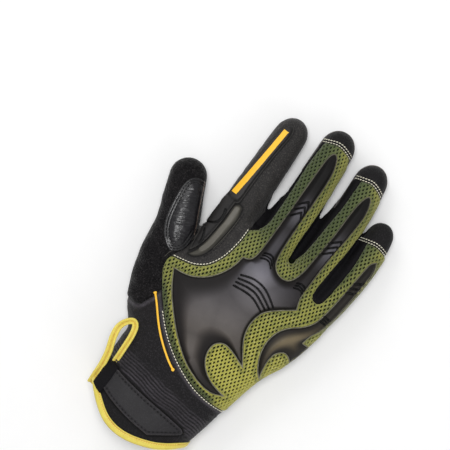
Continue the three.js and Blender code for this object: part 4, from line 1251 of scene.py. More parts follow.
def mouldGuard(settings):
    outline = planField(settings["edge"])
    bm = patchOn(settings["edge"], settings["low"], settings["high"])
    rim = settings["rim"]
    for inset in (lip["reach"], lip["top"], rim - lip["ditchHalf"], rim, rim + lip["stepReach"]):
        cutAlong(bm, lambda points: outline(points) + inset)
    grooveLines = [planField([line], False) for line in settings["grooves"]]
    for line in settings["chevrons"]:
        straight = np.array(line, float)
        grooveLines.append(lambda points, straight=straight: distanceTo(points[:, :2], straight, False))

    def groove(points):
        return np.min([line(points) for line in grooveLines], axis=0)
    if grooveLines:
        cutAlong(bm, lambda points: groove(points) - grooveForm["half"])
        cutAlong(bm, lambda points: groove(points) - grooveForm["floor"])
    if settings["print"]:
        printed = planField(settings["print"])
        cutAlong(bm, printed)
        for face, value in zip(bm.faces, printed(faceCentres(bm))):
            face.material_index = int(value < 0)
    triangulate(bm)
    points = pointsOf(bm)
    depth = np.maximum(-outline(points), 0)
    beyond = np.full(len(points), 1e9)
    for polygon in settings["plateaus"]:
        away = fromOutline(points, [[*polygon, polygon[0]]])
        beyond = np.minimum(beyond, np.maximum(away, 0))
    for line in settings["ridges"]:
        away = fromLine(points, line) - settings["ridgeHalf"]
        beyond = np.minimum(beyond, np.maximum(away, 0))
    inner = np.maximum(depth - rim - lip["ditchAt"], 0)
    ramp = inner / np.maximum(inner + beyond, 1e-6)
    ramp = lip["straight"] * ramp + (1 - lip["straight"]) * smoothStep(0, 1, ramp)
    # a rounded lip along the outline, a narrow ditch inside it, then the slope up to the crown
    ditch = depth - rim + lip["ditchAt"]
    heights = lip["foot"] + lip["height"] * np.sqrt(np.clip(depth / lip["reach"], 0, 1))
    heights -= lip["ditch"] * bell(ditch, 0, lip["ditchHalf"])
    heights += settings["step"] * smoothStep(rim, rim + lip["stepReach"], depth)
    heights += (settings["crown"] - lip["foot"] - lip["height"] - settings["step"]) * ramp
    for x, y, reach in settings["tips"]:
        nearTip = 1 - smoothStep(0.0, reach, fromSpot(points, x, y))
        heights -= np.maximum(heights - lip["tip"], 0) * nearTip
    # a painted highlight along the lip, which on the claw sits at the very edge as a dark painted outline;
    # painted shade in the ditch, along the outermost edge, on the far finger arms and in the grooves
    light = bell(depth, settings["rimAt"], lip["lightHalf"])
    light *= 1 - settings["fingerFade"] * smoothStep(*lip["onFingers"], points[:, 1])
    atTips = smoothStep(*lip["fingertips"], points[:, 1]) * (depth > rim)
    dark = np.max([lip["shade"] * bell(ditch, 0, lip["shadeHalf"]),
                   settings["edgeShade"] * bell(depth, 0, lip["darkEdge"]),
                   settings["fingerShade"] * atTips], axis=0)
    if grooveLines:
        wall = grooveForm["half"] - grooveForm["floor"]
        sunk = 1 - np.clip((groove(points) - grooveForm["floor"]) / wall, 0, 1)
        heights = np.maximum(heights - grooveForm["depth"] * sunk, grooveForm["least"])
        light *= sunk < 0.05
        dark = np.maximum(dark, np.clip(sunk * grooveForm["shade"], 0, 1))
    # spots of painted highlight, strongest on the crown
    shine = np.zeros(len(points))
    for x, y, reach, amount in settings["shine"]:
        shine = np.maximum(shine, amount * bell(fromSpot(points, x, y), 0, reach))
    raisePatch(bm, heights, {"edge": light, "hollow": dark, "shine": shine * ramp ** 2})
    return bm


for name, settings in guards.items():
    guard = mouldGuard(settings)
    extra = ["print"] if settings["print"] else []
    addPiece(name, guard, settings["material"], settings["slot"], settings["node"], extra)
    print("guard:", name, len(guard.faces))


# the open net over the back
net = {"repeat": 2.7, "rowStep": 2.28, "turn": 0.164, "strand": 0.17, "stand": 0.8, "rimStand": 0.42,
       "sunk": 0.15, "seamGap": 0.45, "hidden": 2.5, "tuck": 0.45, "hem": 0.5, "guardShade": 0.9,
       "rimShade": 0.35, "margin": 6, "rise": (24, 46), "ringShift": 3.0, "ring": (7, 13),
       "littleShift": 1.5, "little": (38, 43), "flatUp": 0.86, "spread": 0.58,
       "foot": 0.5, "below": 2, "beside": 1, "under": ["knuckleGuard", "sideGuard"]}
# painted light and shade over the net: a highlight on the fingers' right sides and at the heel; shade on
# their left sides, beside the guards' edges and on the strip beside the cuff, which is darker both for its
# squeezed net and for painted shade
netShade = {"onFingers": (15.0, 45.0), "left": (0.3, -1.3, 0.75), "right": (0.1, 1.1, 0.6),
            "heel": (-28.0, -50.0), "heelLight": 0.45, "strip": (4.6, 3.4), "stripDark": (0.3, 0.6),
            "stripAlong": (-22.0, -36.0), "stripAside": (24.0, 15.0), "stripEnd": 26,
            "guard": 0.5, "guardAt": (1.6, 0.9)}


def unwrapPanel(bm):
    # the panel laid flat, in pattern millimetres: what faces up keeps its place, the sides fold out
    mesh = meshOf(bm, "flatPanel")
    holder = linked("flatPanel", mesh)
    selectOnly(holder)
    points = np.array([v.co[:] for v in mesh.vertices])
    normals = np.array([v.normal[:] for v in mesh.vertices])
    layer = mesh.uv_layers.new(name="flat")
    index = np.zeros(len(mesh.loops), int)
    mesh.loops.foreach_get("vertex_index", index)
    flat = points[:, :2].copy()
    rise = smoothStep(*net["rise"], flat[:, 1])
    flat[:, 0] += net["ringShift"] * rise * smoothStep(*net["ring"], flat[:, 0])
    flat[:, 0] += net["littleShift"] * rise * smoothStep(*net["little"], points[:, 0])
    layer.uv.foreach_set("vector", flat[index].ravel())
    layer.pin.foreach_set("value", normals[index, 2] > net["flatUp"])
    bpy.ops.object.mode_set(mode="EDIT")
    bpy.ops.mesh.select_all(action="SELECT")
    bpy.ops.uv.unwrap(method="CONFORMAL", margin=0.0)
    bpy.ops.object.mode_set(mode="OBJECT")
    corner = np.zeros(len(index) * 2)
    mesh.uv_layers["flat"].uv.foreach_get("vector", corner)
    laid = np.zeros((len(mesh.vertices), 2))
    laid[index] = corner.reshape(-1, 2)
    triangles = [tuple(p.vertices) for p in mesh.polygons]
    bpy.data.objects.remove(holder)
    return laid, points, normals, triangles


def openEdges(bm):
    return [e for e in bm.edges if e.is_boundary]


def openLoop(bm):
    # the vertices round a shape's longest open edge, in order
    bm.verts.ensure_lookup_table()
    bm.verts.index_update()
    ahead = {}
    for edge in openEdges(bm):
        a, b = (v.index for v in edge.verts)
        ahead.setdefault(a, []).append(b)
        ahead.setdefault(b, []).append(a)
    left = set(ahead)
    longest = []
    while left:
        here = min(left)
        loop = []
        while here is not None:
            left.discard(here)
            loop.append(here)
            here = next((n for n in ahead[here] if n in left), None)
        longest = max(longest, loop, key=len)
    return longest


def netGrid(laid, edge):
    # diamonds in slanting rows, over the whole of the laid-out panel
    low = laid.min(axis=0) - net["margin"]
    high = laid.max(axis=0) + net["margin"]
    half = net["repeat"] / 2
    columns = int((high[0] - low[0]) / half) + 2
    rows = int((high[1] - low[1]) / net["rowStep"]) + 2
    reach = int((columns + rows) * net["spread"]) + 2
    bm = bmesh.new()
    bmesh.ops.create_grid(bm, x_segments=reach, y_segments=reach, size=reach / 2)
    middle = (low + high) / 2
    for vert in bm.verts:
        i, j = vert.co.x, vert.co.y
        x = (i + j) * half
        y = (i - j) * net["rowStep"]
        vert.co = (middle[0] + x + net["turn"] * y, middle[1] + y - net["turn"] * x, 0)
    centres = faceCentres(bm)[:, :2]
    removeFaces(bm, np.any((centres < low) | (centres > high), axis=1))
    removeFaces(bm, distanceTo(faceCentres(bm)[:, :2], edge, True) > net["margin"] / 2)
    return bm


def liftOnto(laid, points, normals, triangles):
    # a function that brings points of the laid-out plane onto the panel
    flatTree = BVHTree.FromPolygons([(x, y, 0) for x, y in laid], triangles)

    def lift(flatPoints, heights):
        made = []
        facing = []
        for (u, v), height in zip(flatPoints, heights):
            place, _, index, _ = flatTree.find_nearest((u, v, 0))
            a, b, c = triangles[index]
            (ax, ay), (bx, by), (cx, cy) = laid[a], laid[b], laid[c]
            area = (bx - ax) * (cy - ay) - (cx - ax) * (by - ay)
            wb = ((place.x - ax) * (cy - ay) - (cx - ax) * (place.y - ay)) / area
            wc = ((bx - ax) * (place.y - ay) - (place.x - ax) * (by - ay)) / area
            wa = 1 - wb - wc
            normal = wa * normals[a] + wb * normals[b] + wc * normals[c]
            normal = normal / max(np.linalg.norm(normal), 1e-9)
            made.append(wa * points[a] + wb * points[b] + wc * points[c] + normal * height)
            facing.append(normal)
        return np.array(made), np.array(facing)
    return lift


def shadeNet(placed, facing, nearGuard):
    # painted shade and a painted highlight over the net
    x, y, _ = placed.T
    onFingers = smoothStep(*netShade["onFingers"], y)

    def side(base, slope, most):
        return np.clip(base + slope * facing[:, 0], 0, most) * onFingers
    lighter = np.maximum(side(*netShade["right"]), netShade["heelLight"] * smoothStep(*netShade["heel"], y))
    away = fromLine(placed, meshCuffSeam)
    along = smoothStep(*netShade["stripAlong"], y) * smoothStep(*netShade["stripAside"], x)
    least, more = netShade["stripDark"]
    squeezed = smoothStep(*netShade["strip"], away) * (least + more * along) * (x < netShade["stripEnd"])
    besideGuard = netShade["guard"] * bell(nearGuard, *netShade["guardAt"])
    darker = np.max([side(*netShade["left"]), squeezed, besideGuard], axis=0)
    return {"hollow": darker, "shine": lighter * (1 - darker)}


def makeNet():
    panel = panels["meshBack"].copy()
    keepBiggest(panel)
    dropLoose(panel)
    laid, points, normals, triangles = unwrapPanel(panel)
    edge = laid[openLoop(panel)]
    panel.free()
    bm = netGrid(laid, edge)
    lift = liftOnto(laid, points, normals, triangles)

    def besideGuards(placed):
        return np.min([fromOutline(placed, guards[key]["edge"]) for key in net["under"]], axis=0)

    def seam(flat):
        return distanceTo(flat[:, :2], edge, True) + net["seamGap"]

    def rimOfGuards(flat):
        return net["hem"] - besideGuards(lift(flat[:, :2], np.zeros(len(flat)))[0])
    removeFaces(bm, rimOfGuards(faceCentres(bm)) > net["hidden"] + net["hem"])
    holes = bm.faces[:]
    bmesh.ops.inset_individual(bm, faces=holes, thickness=net["strand"], depth=0, use_even_offset=True)
    for face in holes:
        face.material_index = 1
    bm = refined(bm)
    cutAlong(bm, seam)
    removeFaces(bm, seam(faceCentres(bm)) > 0)
    cutAlong(bm, lambda flat: seam(flat) + net["hem"])
    cutAlong(bm, rimOfGuards)
    centres = faceCentres(bm)
    deep = (seam(centres) < -net["hem"]) & (rimOfGuards(centres) < 0)
    removeFaces(bm, [f.material_index == 1 and inner for f, inner in zip(bm.faces, deep)])
    dropLoose(bm)
    bm.verts.index_update()
    rims = {v.index for e in openEdges(bm) for v in e.verts}
    # painted shade along the holes' rims, down their walls and beside the guards
    layer = bm.verts.layers.float.new("edge")
    shadow = smoothStep(0.0, net["hem"], rimOfGuards(pointsOf(bm))) * net["guardShade"]
    for vert, dark in zip(bm.verts, shadow):
        vert.co.z = net["rimStand"] if vert.index in rims else net["stand"]
        vert[layer] = max(net["rimShade"] if vert.index in rims else 0.0, float(dark))
    made = bmesh.ops.extrude_edge_only(bm, edges=openEdges(bm))
    for vert in newVerts(made):
        vert.co.z = -net["sunk"]
        vert[layer] = 1.0
    bmesh.ops.recalc_face_normals(bm, faces=bm.faces[:])
    if sum(f.normal.z for f in bm.faces) < 0:
        bmesh.ops.reverse_faces(bm, faces=bm.faces[:])
    flat = pointsOf(bm)
    placed, facing = lift(flat[:, :2], flat[:, 2])
    paint(bm, shadeNet(placed, facing, besideGuards(placed)))
    for vert, place in zip(bm.verts, placed):
        vert.co = place
    for key in net["under"]:
        inside = planField(guards[key]["edge"])
        foot = guards[key]["low"] + net["foot"]
        cutAlong(bm, lambda points: inside(points) + net["tuck"], foot - net["below"])
        cutAlong(bm, lambda points: np.where(inside(points) < net["beside"], foot - points[:, 2],
                                             cutting["far"]), foot - net["below"])
        centres = faceCentres(bm)
        removeFaces(bm, (inside(centres) < -net["tuck"]) & (centres[:, 2] > foot))
    dropLoose(bm)
    return bm


netBm = makeNet()
print("net:", sum(len(f.verts) - 2 for f in netBm.faces), "triangles")
addPiece("openNet", netBm, "netYarn", "mesh")


# leather patches and the tab on the cuff
usualPatch = {"material": "leather", "slot": "leather", "low": -9.0, "high": 99.0, "facing": 0,
              "rimLight": 0.15, "puffReach": 5.0, "channelShade": 0.85}
tipPad = {"high": 14.0, "thick": 0.62, "puff": 0.15, "crinkle": 0.15, "channels": (1.2, 2.6)}
onTab = {"slot": "label", "low": 18.0, "facing": 1, "puffReach": 2.6}
patches = {
    "thumbPatch": {"node": "thumb_patch", "edge": thumbPatchEdge, "low": 15.0, "rimLight": 0.05,
                   "thick": 1.0, "puff": 0.95, "puffReach": 7.5, "crinkle": 0.4,
                   "channels": (1.6, 3.3), "sewn": thumbPatchEdge[:2], "raw": thumbPatchEdge[2]},
    "palmPatch": {"node": "palm_patch", "edge": palmPatchEdge, "high": 7.0, "facing": -1, "thick": 0.7,
                  "puff": 0.2, "crinkle": 0.12, "channels": (1.3, 2.8)},
    "tipPadMiddle": {**tipPad, "node": "tip_pad_middle", "edge": tipPads["middle"]},
    "tipPadRing": {**tipPad, "node": "tip_pad_ring", "edge": tipPads["ring"]},
    "cuffTab": {**onTab, "node": "cuff_label", "material": "label", "edge": labelEdge, "rimLight": 0.9,
                "thick": 1.75, "puff": -0.15, "crinkle": 0.08, "channels": (1.8,),
                "channelShade": 0.0},
    "tabBand": {**onTab, "node": None, "material": "stripCloth", "edge": tabBandEdge, "rimLight": 0.3,
                "thick": 2.15, "puff": 0.1, "crinkle": 0.1, "channels": (9.0,)},
}
patches = {name: {**usualPatch, **own} for name, own in patches.items()}
# what all patches share: their rounded edge with a painted highlight, a cut edge that shows its own pale
# colour, the stitched channels with painted shade, the folds
patchForm = {"thin": 0.25, "rounding": 0.7, "rim": (0.9, 0.2), "rawRim": 0.85, "rawReach": 3.0,
             "dip": 0.42, "dipHalf": 0.45, "least": 0.22,
             "foldsTurn": [[0.82, -0.57, 0], [0.57, 0.82, 0], [0, 0, 1.0]],
             "folds": [(0.55, (0.45, 2.1, 1), 0.17, 5), (0.45, (0.55, 2.4, 1), 0.36, 6)],
             "foldTop": 0.35, "foldDepth": 2.2, "foldFrom": 0.8, "foldReach": 2.0, "foldRaw": 0.3}


def layPatch(settings):
    bm = patchOn(settings["edge"], settings["low"], settings["high"], settings["facing"])
    points = pointsOf(bm)
    depth = nearestDistances(points, [v.co for v in bm.verts if v.is_boundary])
    # a painted highlight along the rounded rim
    light = settings["rimLight"] * smoothStep(*patchForm["rim"], depth)
    sewn = depth
    full = np.ones(len(depth))
    if "raw" in settings:
        # a cut edge that shows, with its own pale colour and without the stitched channels of the other
        # edges
        away = fromLine(points, settings["raw"])
        sewn = distanceTo(points[:, :2], smoothLine(settings["sewn"], False), False)
        full = smoothStep(0.0, patchForm["rawReach"], away)
        light = np.exp(-(away / patchForm["rawRim"]) ** 4)
    last = settings["channels"][-1]
    rounded = np.sqrt(np.clip(depth / patchForm["rounding"], 0, 1))
    heights = patchForm["thin"] + (settings["thick"] - patchForm["thin"]) * rounded
    heights += settings["puff"] * smoothStep(last, settings["puffReach"], sewn) * full
    turned = points @ np.array(patchForm["foldsTurn"])
    folds = sum(size * noiseAt(turned * stretch, scale, seed)
                for size, stretch, scale, seed in patchForm["folds"])
    inner = smoothStep(patchForm["foldFrom"] * last, last + patchForm["foldReach"], sewn)
    crinkle = patchForm["foldTop"] - patchForm["foldDepth"] * np.abs(folds)
    least = patchForm["foldRaw"]
    heights += settings["crinkle"] * crinkle * inner * (least + (1 - least) * full)
    # painted shade in the stitched channels
    hollow = np.zeros(len(depth))
    for channel in settings["channels"]:
        dip = bell(sewn, channel, patchForm["dipHalf"])
        heights -= patchForm["dip"] * min(settings["thick"], 1) * dip
        hollow = np.maximum(hollow, dip)
    heights = np.maximum(heights, patchForm["least"])
    raisePatch(bm, heights, {"edge": light, "hollow": settings["channelShade"] * hollow})
    for vert in bm.verts:
        vert.co.z = max(vert.co.z, 0.0)
    return bm


patchShapes = {}
for name, settings in patches.items():
    patchShapes[name] = layPatch(settings)
    addPiece(name, patchShapes[name], settings["material"], settings["slot"], settings["node"])
print("patches:", {name: len(shape.faces) for name, shape in patchShapes.items()})


# binding round the wrist opening
binding = {
    # across the cloth's edge: distance into the glove, and height off the cloth's face
    "section": [(4.3, 0.1), (4.35, 0.6), (4.05, 0.95), (3.35, 0.8), (2.8, 1.1), (1.2, 1.2), (0.2, 1.0),
                (-0.4, 0.3), (-0.62, -0.5), (-0.62, -1.5), (-0.4, -2.3), (0.2, -2.8), (1.2, -2.95),
                (2.9, -2.9), (3.4, -2.78), (4.05, -2.8), (4.35, -2.5), (4.3, -2.1), (0.5, -2.06),
                (0.5, 0.06)],
    "steps": 420, "blur": 12, "pucker": (0.09, 0.45), "onCloth": 0.3, "lowest": 0.05, "weld": 0.003,
    # painted shade along its stitched line and its outer fold: place across and half width
    "dark": [(3.3, 0.35), (-0.62, 0.25)],
}
skinTree = BVHTree.FromPolygons([v.co[:] for v in skinMesh.vertices],
                                [tuple(f.vertices) for f in skinMesh.polygons])


def evenPath(points, steps, closed, blur=0):
    # a path resampled to even steps, after a blur over its neighbours
    path = np.asarray(points, float)
    for _ in range(blur):
        path = (np.roll(path, 1, axis=0) + 2 * path + np.roll(path, -1, axis=0)) / 4
    if closed:
        path = np.vstack([path, path[:1]])
    length = np.concatenate([[0], np.cumsum(np.linalg.norm(np.diff(path, axis=0), axis=1))])
    marks = np.linspace(0, length[-1], steps, endpoint=not closed)
    return np.stack([np.interp(marks, length, path[:, i]) for i in range(path.shape[1])], axis=1)


def sweptGrid(around, along):
    # a flat grid whose vertices carry their place round a section and along a path
    bm = bmesh.new()
    bmesh.ops.create_grid(bm, x_segments=around, y_segments=along, size=1)
    i = [round((v.co.x + 1) / 2 * around) for v in bm.verts]
    j = [round((v.co.y + 1) / 2 * along) for v in bm.verts]
    return bm, i, j


def makeBinding():
    loop = openLoop(wholeCloth)
    wholeCloth.verts.ensure_lookup_table()
    path = evenPath([wholeCloth.verts[i].co[:] for i in loop], binding["steps"], True, binding["blur"])
    ahead = np.roll(path, -1, axis=0) - np.roll(path, 1, axis=0)
    count = len(binding["section"])
    bm, around, along = sweptGrid(count, binding["steps"])
    # painted shade along the stitched line and the outer fold
    dark = bm.verts.layers.float.new("edge")
    size, scale = binding["pucker"]
    pucker = size * noiseAt(path, scale, 8)
    faces = [skinTree.find_nearest(p)[:2] for p in path]
    for vert, i, j in zip(bm.verts, around, along):
        j %= binding["steps"]
        into, height = binding["section"][i % count]
        place, normal = faces[j]
        inwards = normal.cross(Vector(ahead[j])).normalized()
        if inwards.y < 0:
            inwards = -inwards
        base = Vector(path[j]) + inwards * into
        if into > binding["onCloth"]:
            near, slope, _, _ = skinTree.find_nearest(base)
            base = near
            normal = (normal + slope).normalized()
        swell = pucker[j] * (1 if height > 0 else -1)
        vert.co = base + normal * (height + swell)
        vert.co.z = max(vert.co.z, binding["lowest"])
        vert[dark] = sum(bell(into, at, half) for at, half in binding["dark"])
    return closeUp(bm, binding["weld"])


bindingShape = makeBinding()
addPiece("wristBinding", bindingShape, "bindingTape", "binding", "cuff_binding")


# pull loop: a tape folded in half, sewn along both edges
pullLoop = {
    "path": [(-55.0, -113.4, 26.5), (-55.3, -106, 30.8), (-55.5, -98, 33.4), (-57, -88.5, 34.6),
             (-59.9, -79, 34.6), (-60.7, -71.5, 34.6), (-58.4, -65.8, 34.8), (-54.6, -62.9, 35.1),
             (-51.6, -65.4, 35.6), (-50.2, -72, 36.0), (-49.8, -82, 35.6), (-49.6, -92, 33)],
    "section": [(-2.5, 0.0), (-2.45, 0.6), (-2.1, 1.0), (-1.5, 1.15), (-0.95, 0.95), (-0.5, 0.5),
                (0.0, 0.34), (0.5, 0.5), (0.95, 0.95), (1.5, 1.15), (2.1, 1.0), (2.45, 0.6), (2.5, 0.0),
                (2.42, -0.5), (2.0, -0.8), (1.0, -0.85), (0.0, -0.5), (-1.0, -0.85), (-2.0, -0.8),
                (-2.42, -0.5)],
    "narrow": 0.86, "narrows": (0.45, 0.6), "fineness": 400, "steps": 260, "pucker": (0.12, 0.35),
    "darkHalf": 0.5,
}


def loopFrame():
    control = np.array(pullLoop["path"], float)
    path = catmullRom(control, np.linspace(0, 1, pullLoop["fineness"]))
    path = evenPath(path, pullLoop["steps"] + 1, False)
    ahead = np.gradient(path, axis=0)
    ahead /= np.linalg.norm(ahead, axis=1)[:, None]
    across = np.stack([ahead[:, 1], -ahead[:, 0], np.zeros(len(ahead))], axis=1)
    across /= np.linalg.norm(across, axis=1)[:, None]
    return path, ahead, across, np.cross(across, ahead)


def makeLoop():
    path, ahead, across, up = loopFrame()
    count = len(pullLoop["section"])
    bm, around, along = sweptGrid(count, pullLoop["steps"])
    size, scale = pullLoop["pucker"]
    pucker = size * noiseAt(path, scale, 9)
    # painted shade down the middle groove of the folded tape
    dark = bm.verts.layers.float.new("edge")
    for vert, i, j in zip(bm.verts, around, along):
        side, height = pullLoop["section"][i % count]
        swell = 1 + pucker[j]
        width = 1 + (pullLoop["narrow"] - 1) * smoothStep(*pullLoop["narrows"], j / pullLoop["steps"])
        vert.co = path[j] + across[j] * side * width + up[j] * height * swell
        vert[dark] = bell(side, 0, pullLoop["darkHalf"])
    bmesh.ops.remove_doubles(bm, verts=bm.verts[:], dist=binding["weld"])
    bmesh.ops.holes_fill(bm, edges=openEdges(bm), sides=0)
    bmesh.ops.recalc_face_normals(bm, faces=bm.faces[:])
    return bm


loopShape = makeLoop()
addPiece("pullLoop", loopShape, "bindingTape", "binding", "pull_loop")
print("binding and loop:", len(bindingShape.faces), len(loopShape.faces))


# stitches: how rows are laid and how much one stitch differs from the next
stitching = {"step": 0.45, "above": 80, "shortest": 0.2, "turn": (-0.06, 0.06), "widths": (0.92, 1.08),
             "flatness": 0.8, "segments": 6, "rings": 5, "cornerCut": 0.93}


def movedLine(line, distance):
    # a plan line moved to its left
    way = np.gradient(line, axis=0)
    way /= np.maximum(np.linalg.norm(way, axis=1), 1e-9)[:, None]
    return line + distance * np.stack([-way[:, 1], way[:, 0]], axis=1)


def insetRing(curves, inset):
    # a closed outline moved inwards, without the points that a corner would fold over
    ring = smoothLine(curves)
    area = np.sum(ring[:, 0] * np.roll(ring[:, 1], -1) - np.roll(ring[:, 0], -1) * ring[:, 1])
    way = np.roll(ring, -1, axis=0) - np.roll(ring, 1, axis=0)
    way /= np.maximum(np.linalg.norm(way, axis=1), 1e-9)[:, None]
    left = np.stack([-way[:, 1], way[:, 0]], axis=1) * (1 if area > 0 else -1)
    moved = ring + left * inset
    kept = moved[distanceTo(moved, ring, True) < -stitching["cornerCut"] * inset]
    return np.vstack([kept, kept[:1]])


def dropped(line, tree, side):
    # a plan line's points on a surface seen from above, or from below where side is -1
    hits = []
    length = np.linalg.norm(np.diff(line, axis=0), axis=1).sum()
    for x, y in evenPath(line, max(int(length / stitching["step"]), 4), False):
        start = Vector((x, y, stitching["above"] * side))
        place, normal, _, _ = tree.ray_cast(start, Vector((0, 0, -side)))
        if place is not None:
            hits.append((*place, *normal))
    return np.array(hits)


def sewRow(bm, hits, thread):
    # one small rounded stitch after another
    if len(hits) < 3:
        return
    length = np.concatenate([[0], np.cumsum(np.linalg.norm(np.diff(hits[:, :3], axis=0), axis=1))])
    marks = np.arange(thread["pitch"] / 2, length[-1], thread["pitch"])
    half = thread["length"] / 2
    for mark in marks:
        middle, before, after = (np.array([np.interp(m, length, hits[:, i]) for i in range(6)])
                                 for m in (mark, mark - half, mark + half))
        up = Vector(middle[3:]).normalized()
        way = Vector(after[:3] - before[:3])
        if way.length < stitching["shortest"]:
            continue
        way = (way.normalized() - up * way.normalized().dot(up)).normalized()
        side = up.cross(way)
        way = (way + side * (thread["slant"] + chance.uniform(*stitching["turn"]))).normalized()
        side = up.cross(way)
        width = thread["width"] * chance.uniform(*stitching["widths"]) / 2
        turn = Matrix([(*(side * width), 0), (*(up * width * stitching["flatness"]), 0),
                       (*(way * half), 0), (0, 0, 0, 1)]).transposed()
        turn.translation = Vector(middle[:3]) + up * thread["lift"]
        bmesh.ops.create_uvsphere(bm, u_segments=stitching["segments"],
                                  v_segments=stitching["rings"], radius=1.0, matrix=turn)


threads = {
    "bold": {"pitch": 2.15, "length": 1.8, "width": 0.78, "slant": 0.12, "lift": 0.24},
    "fine": {"pitch": 2.2, "length": 1.7, "width": 0.8, "slant": 0.12, "lift": 0.26},
    "cap": {"pitch": 2.0, "length": 1.65, "width": 0.7, "slant": 0.18, "lift": 0.2},
    "dark": {"pitch": 2.3, "length": 1.5, "width": 0.62, "slant": 0.06, "lift": 0.12},
    "tab": {"pitch": 2.9, "length": 1.9, "width": 1.1, "slant": 0.0, "lift": 0.1},
    "piping": {"pitch": 1.1, "length": 1.3, "width": 0.5, "slant": 0.0, "lift": 0.12},
    "tape": {"pitch": 1.7, "length": 1.35, "width": 0.42, "slant": 0.05, "lift": 0.08},
}
indexRow = [(-35.4, 38.5), (-35.5, 26), (-36.4, 14), (-38.2, 5), (-41.8, -2)]
pipingLines = [
    [(-36.2, 34), (-36.5, 25), (-37.5, 16), (-39, 7)],
    [(-53.2, 10), (-54.2, 3.6), (-54.9, -0.5), (-56.4, -3.8), (-59.1, -7.8), (-61.7, -11.6),
     (-62.6, -16)],
]
ribRow = [(-56, -80), (30, -80)]
# how far the rows run from their seams, where the cuff's ends and how high the loop's stands
rowsAway = {"index": -0.75, "cuff": -0.55, "caps": (0.55, 2.35), "ribs": (-1.4, 0.9), "binding": 3.5,
            "loop": (-1.5, 1.5), "cuffFrom": -43, "cuffUntil": 40, "cuffBelow": -44, "loopLift": 1.1,
            "rawGap": 0.4}


def openLine(curve):
    return smoothLine([curve], False)


def sewPiping():
    bm = bmesh.new()
    for line in pipingLines:
        sewRow(bm, dropped(openLine(line), clothTree, 1), threads["piping"])
    return bm


def sewPale():
    bm = bmesh.new()
    seam = openLine(meshIndexSeam)
    sewRow(bm, dropped(movedLine(seam, rowsAway["index"]), clothTree, 1), threads["bold"])
    seam = openLine(meshCuffSeam)
    x, y = seam.T
    seam = seam[(x > rowsAway["cuffFrom"]) & (x < rowsAway["cuffUntil"]) & (y < rowsAway["cuffBelow"])]
    sewRow(bm, dropped(movedLine(seam, rowsAway["cuff"]), clothTree, 1), threads["fine"])
    for line in capSeams.values():
        for away in rowsAway["caps"]:
            sewRow(bm, dropped(openLine(line) + (0, away), clothTree, 1), threads["cap"])
    return bm


def sewDark():
    # along the stitched channels of the patches, the seam beside the index guard and the ribs
    bm = bmesh.new()
    trees = {name: BVHTree.FromBMesh(shape) for name, shape in patchShapes.items()}
    for inset in patches["cuffTab"]["channels"]:
        sewRow(bm, dropped(insetRing(labelEdge, inset), trees["cuffTab"], 1), threads["tab"])
    for inset in patches["thumbPatch"]["channels"]:
        ring = insetRing(thumbPatchEdge, inset)
        ring = ring[fromLine(ring, patches["thumbPatch"]["raw"]) > inset + rowsAway["rawGap"]]
        gap = int(np.argmax(np.linalg.norm(np.diff(ring, axis=0), axis=1)))
        ring = np.vstack([ring[gap + 1:], ring[:gap + 1]])
        sewRow(bm, dropped(ring, trees["thumbPatch"], 1), threads["dark"])
    sewRow(bm, dropped(openLine(indexRow), clothTree, 1), threads["dark"])
    for inset in patches["palmPatch"]["channels"]:
        sewRow(bm, dropped(insetRing(palmPatchEdge, inset), trees["palmPatch"], -1), threads["dark"])
    for key, name in (("middle", "tipPadMiddle"), ("ring", "tipPadRing")):
        for away in tipPad["channels"]:
            line = openLine(tipPads[key][0]) + (0, away)
            sewRow(bm, dropped(line, trees[name], -1), threads["dark"])
    for away in rowsAway["ribs"]:
        sewRow(bm, dropped(np.array(ribRow, float) + (0, away), clothTree, -1), threads["dark"])
    return bm


def sewYellow():
    bm = bmesh.new()
    tape = BVHTree.FromBMesh(bindingShape)
    for edge, side in ((wristBack, 1), (wristPalm, -1)):
        line = movedLine(openLine(edge), rowsAway["binding"])
        sewRow(bm, dropped(line, tape, side), threads["tape"])
    path, _, across, up = loopFrame()
    for away in rowsAway["loop"]:
        sewRow(bm, np.hstack([path + across * away + up * rowsAway["loopLift"], up]), threads["tape"])
    return bm


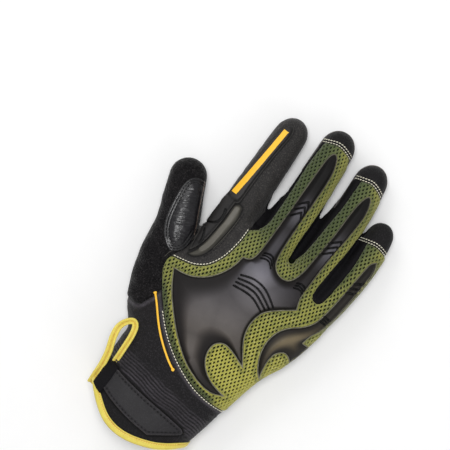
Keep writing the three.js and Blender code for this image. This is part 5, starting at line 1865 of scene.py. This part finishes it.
rows = [sewPale(), sewDark(), sewYellow()]
addPiece("indexPiping", sewPiping(), "paleRubber", "pale_rubber")
addPiece("paleStitches", rows[0], "paleThread", "binding")
addPiece("darkStitches", rows[1], "darkThread", "neoprene")
addPiece("yellowStitches", rows[2], "yellowThread", "binding")
print("stitches:", sum(len(row.faces) for row in rows), "faces")


# plain printed line beside the cuff's seam, with a dot at each end
cuffLine = {"path": [(-54, -39.2), (-49.6, -43.8), (-44.4, -50), (-39.2, -55.8), (-34.2, -60.6),
                     (-29.4, -64.6), (-24.6, -68.2), (-19.8, -71.4), (-15, -74)],
            "half": 0.8, "stand": 0.16, "sunk": 0.1, "dot": 1.15, "dotHeight": 0.24,
            "fineness": 200, "steps": 120}


def printLine():
    steps = cuffLine["steps"]
    line = catmullRom(cuffLine["path"], np.linspace(0, 1, cuffLine["fineness"]))
    line = evenPath(line, steps + 1, False)
    lanes = []
    for aside in (-1, -0.5, 0, 0.5, 1):
        lane = dropped(movedLine(line, aside * cuffLine["half"]), clothTree, 1)
        lanes.append(evenPath(lane, steps + 1, False))
    last = len(lanes) - 1
    bm, around, along = sweptGrid(last, steps)
    for vert, i, j in zip(bm.verts, around, along):
        stand = cuffLine["stand"] if 0 < i < last else -cuffLine["sunk"]
        vert.co = lanes[i][j, :3] + lanes[i][j, 3:] * stand
    middle = lanes[last // 2]
    for j in (0, steps):
        up = Vector(middle[j, 3:]).normalized()
        turn = up.to_track_quat("Z", "Y").to_matrix().to_4x4()
        turn.translation = Vector(middle[j, :3])
        bmesh.ops.create_uvsphere(bm, u_segments=20, v_segments=8, radius=cuffLine["dot"],
                                  matrix=turn @ Matrix.Diagonal((1, 1, cuffLine["dotHeight"], 1)))
    bmesh.ops.recalc_face_normals(bm, faces=bm.faces[:])
    return bm


addPiece("cuffLine", printLine(), "print", "binding")


# floor
floorMesh = bmesh.new()
bmesh.ops.create_grid(floorMesh, x_segments=1, y_segments=1, size=3)
floorData = meshOf(floorMesh, "floor")
floorData.materials.append(materials["backdrop"])
floorPiece = linked("floor", floorData)

bpy.context.view_layer.update()
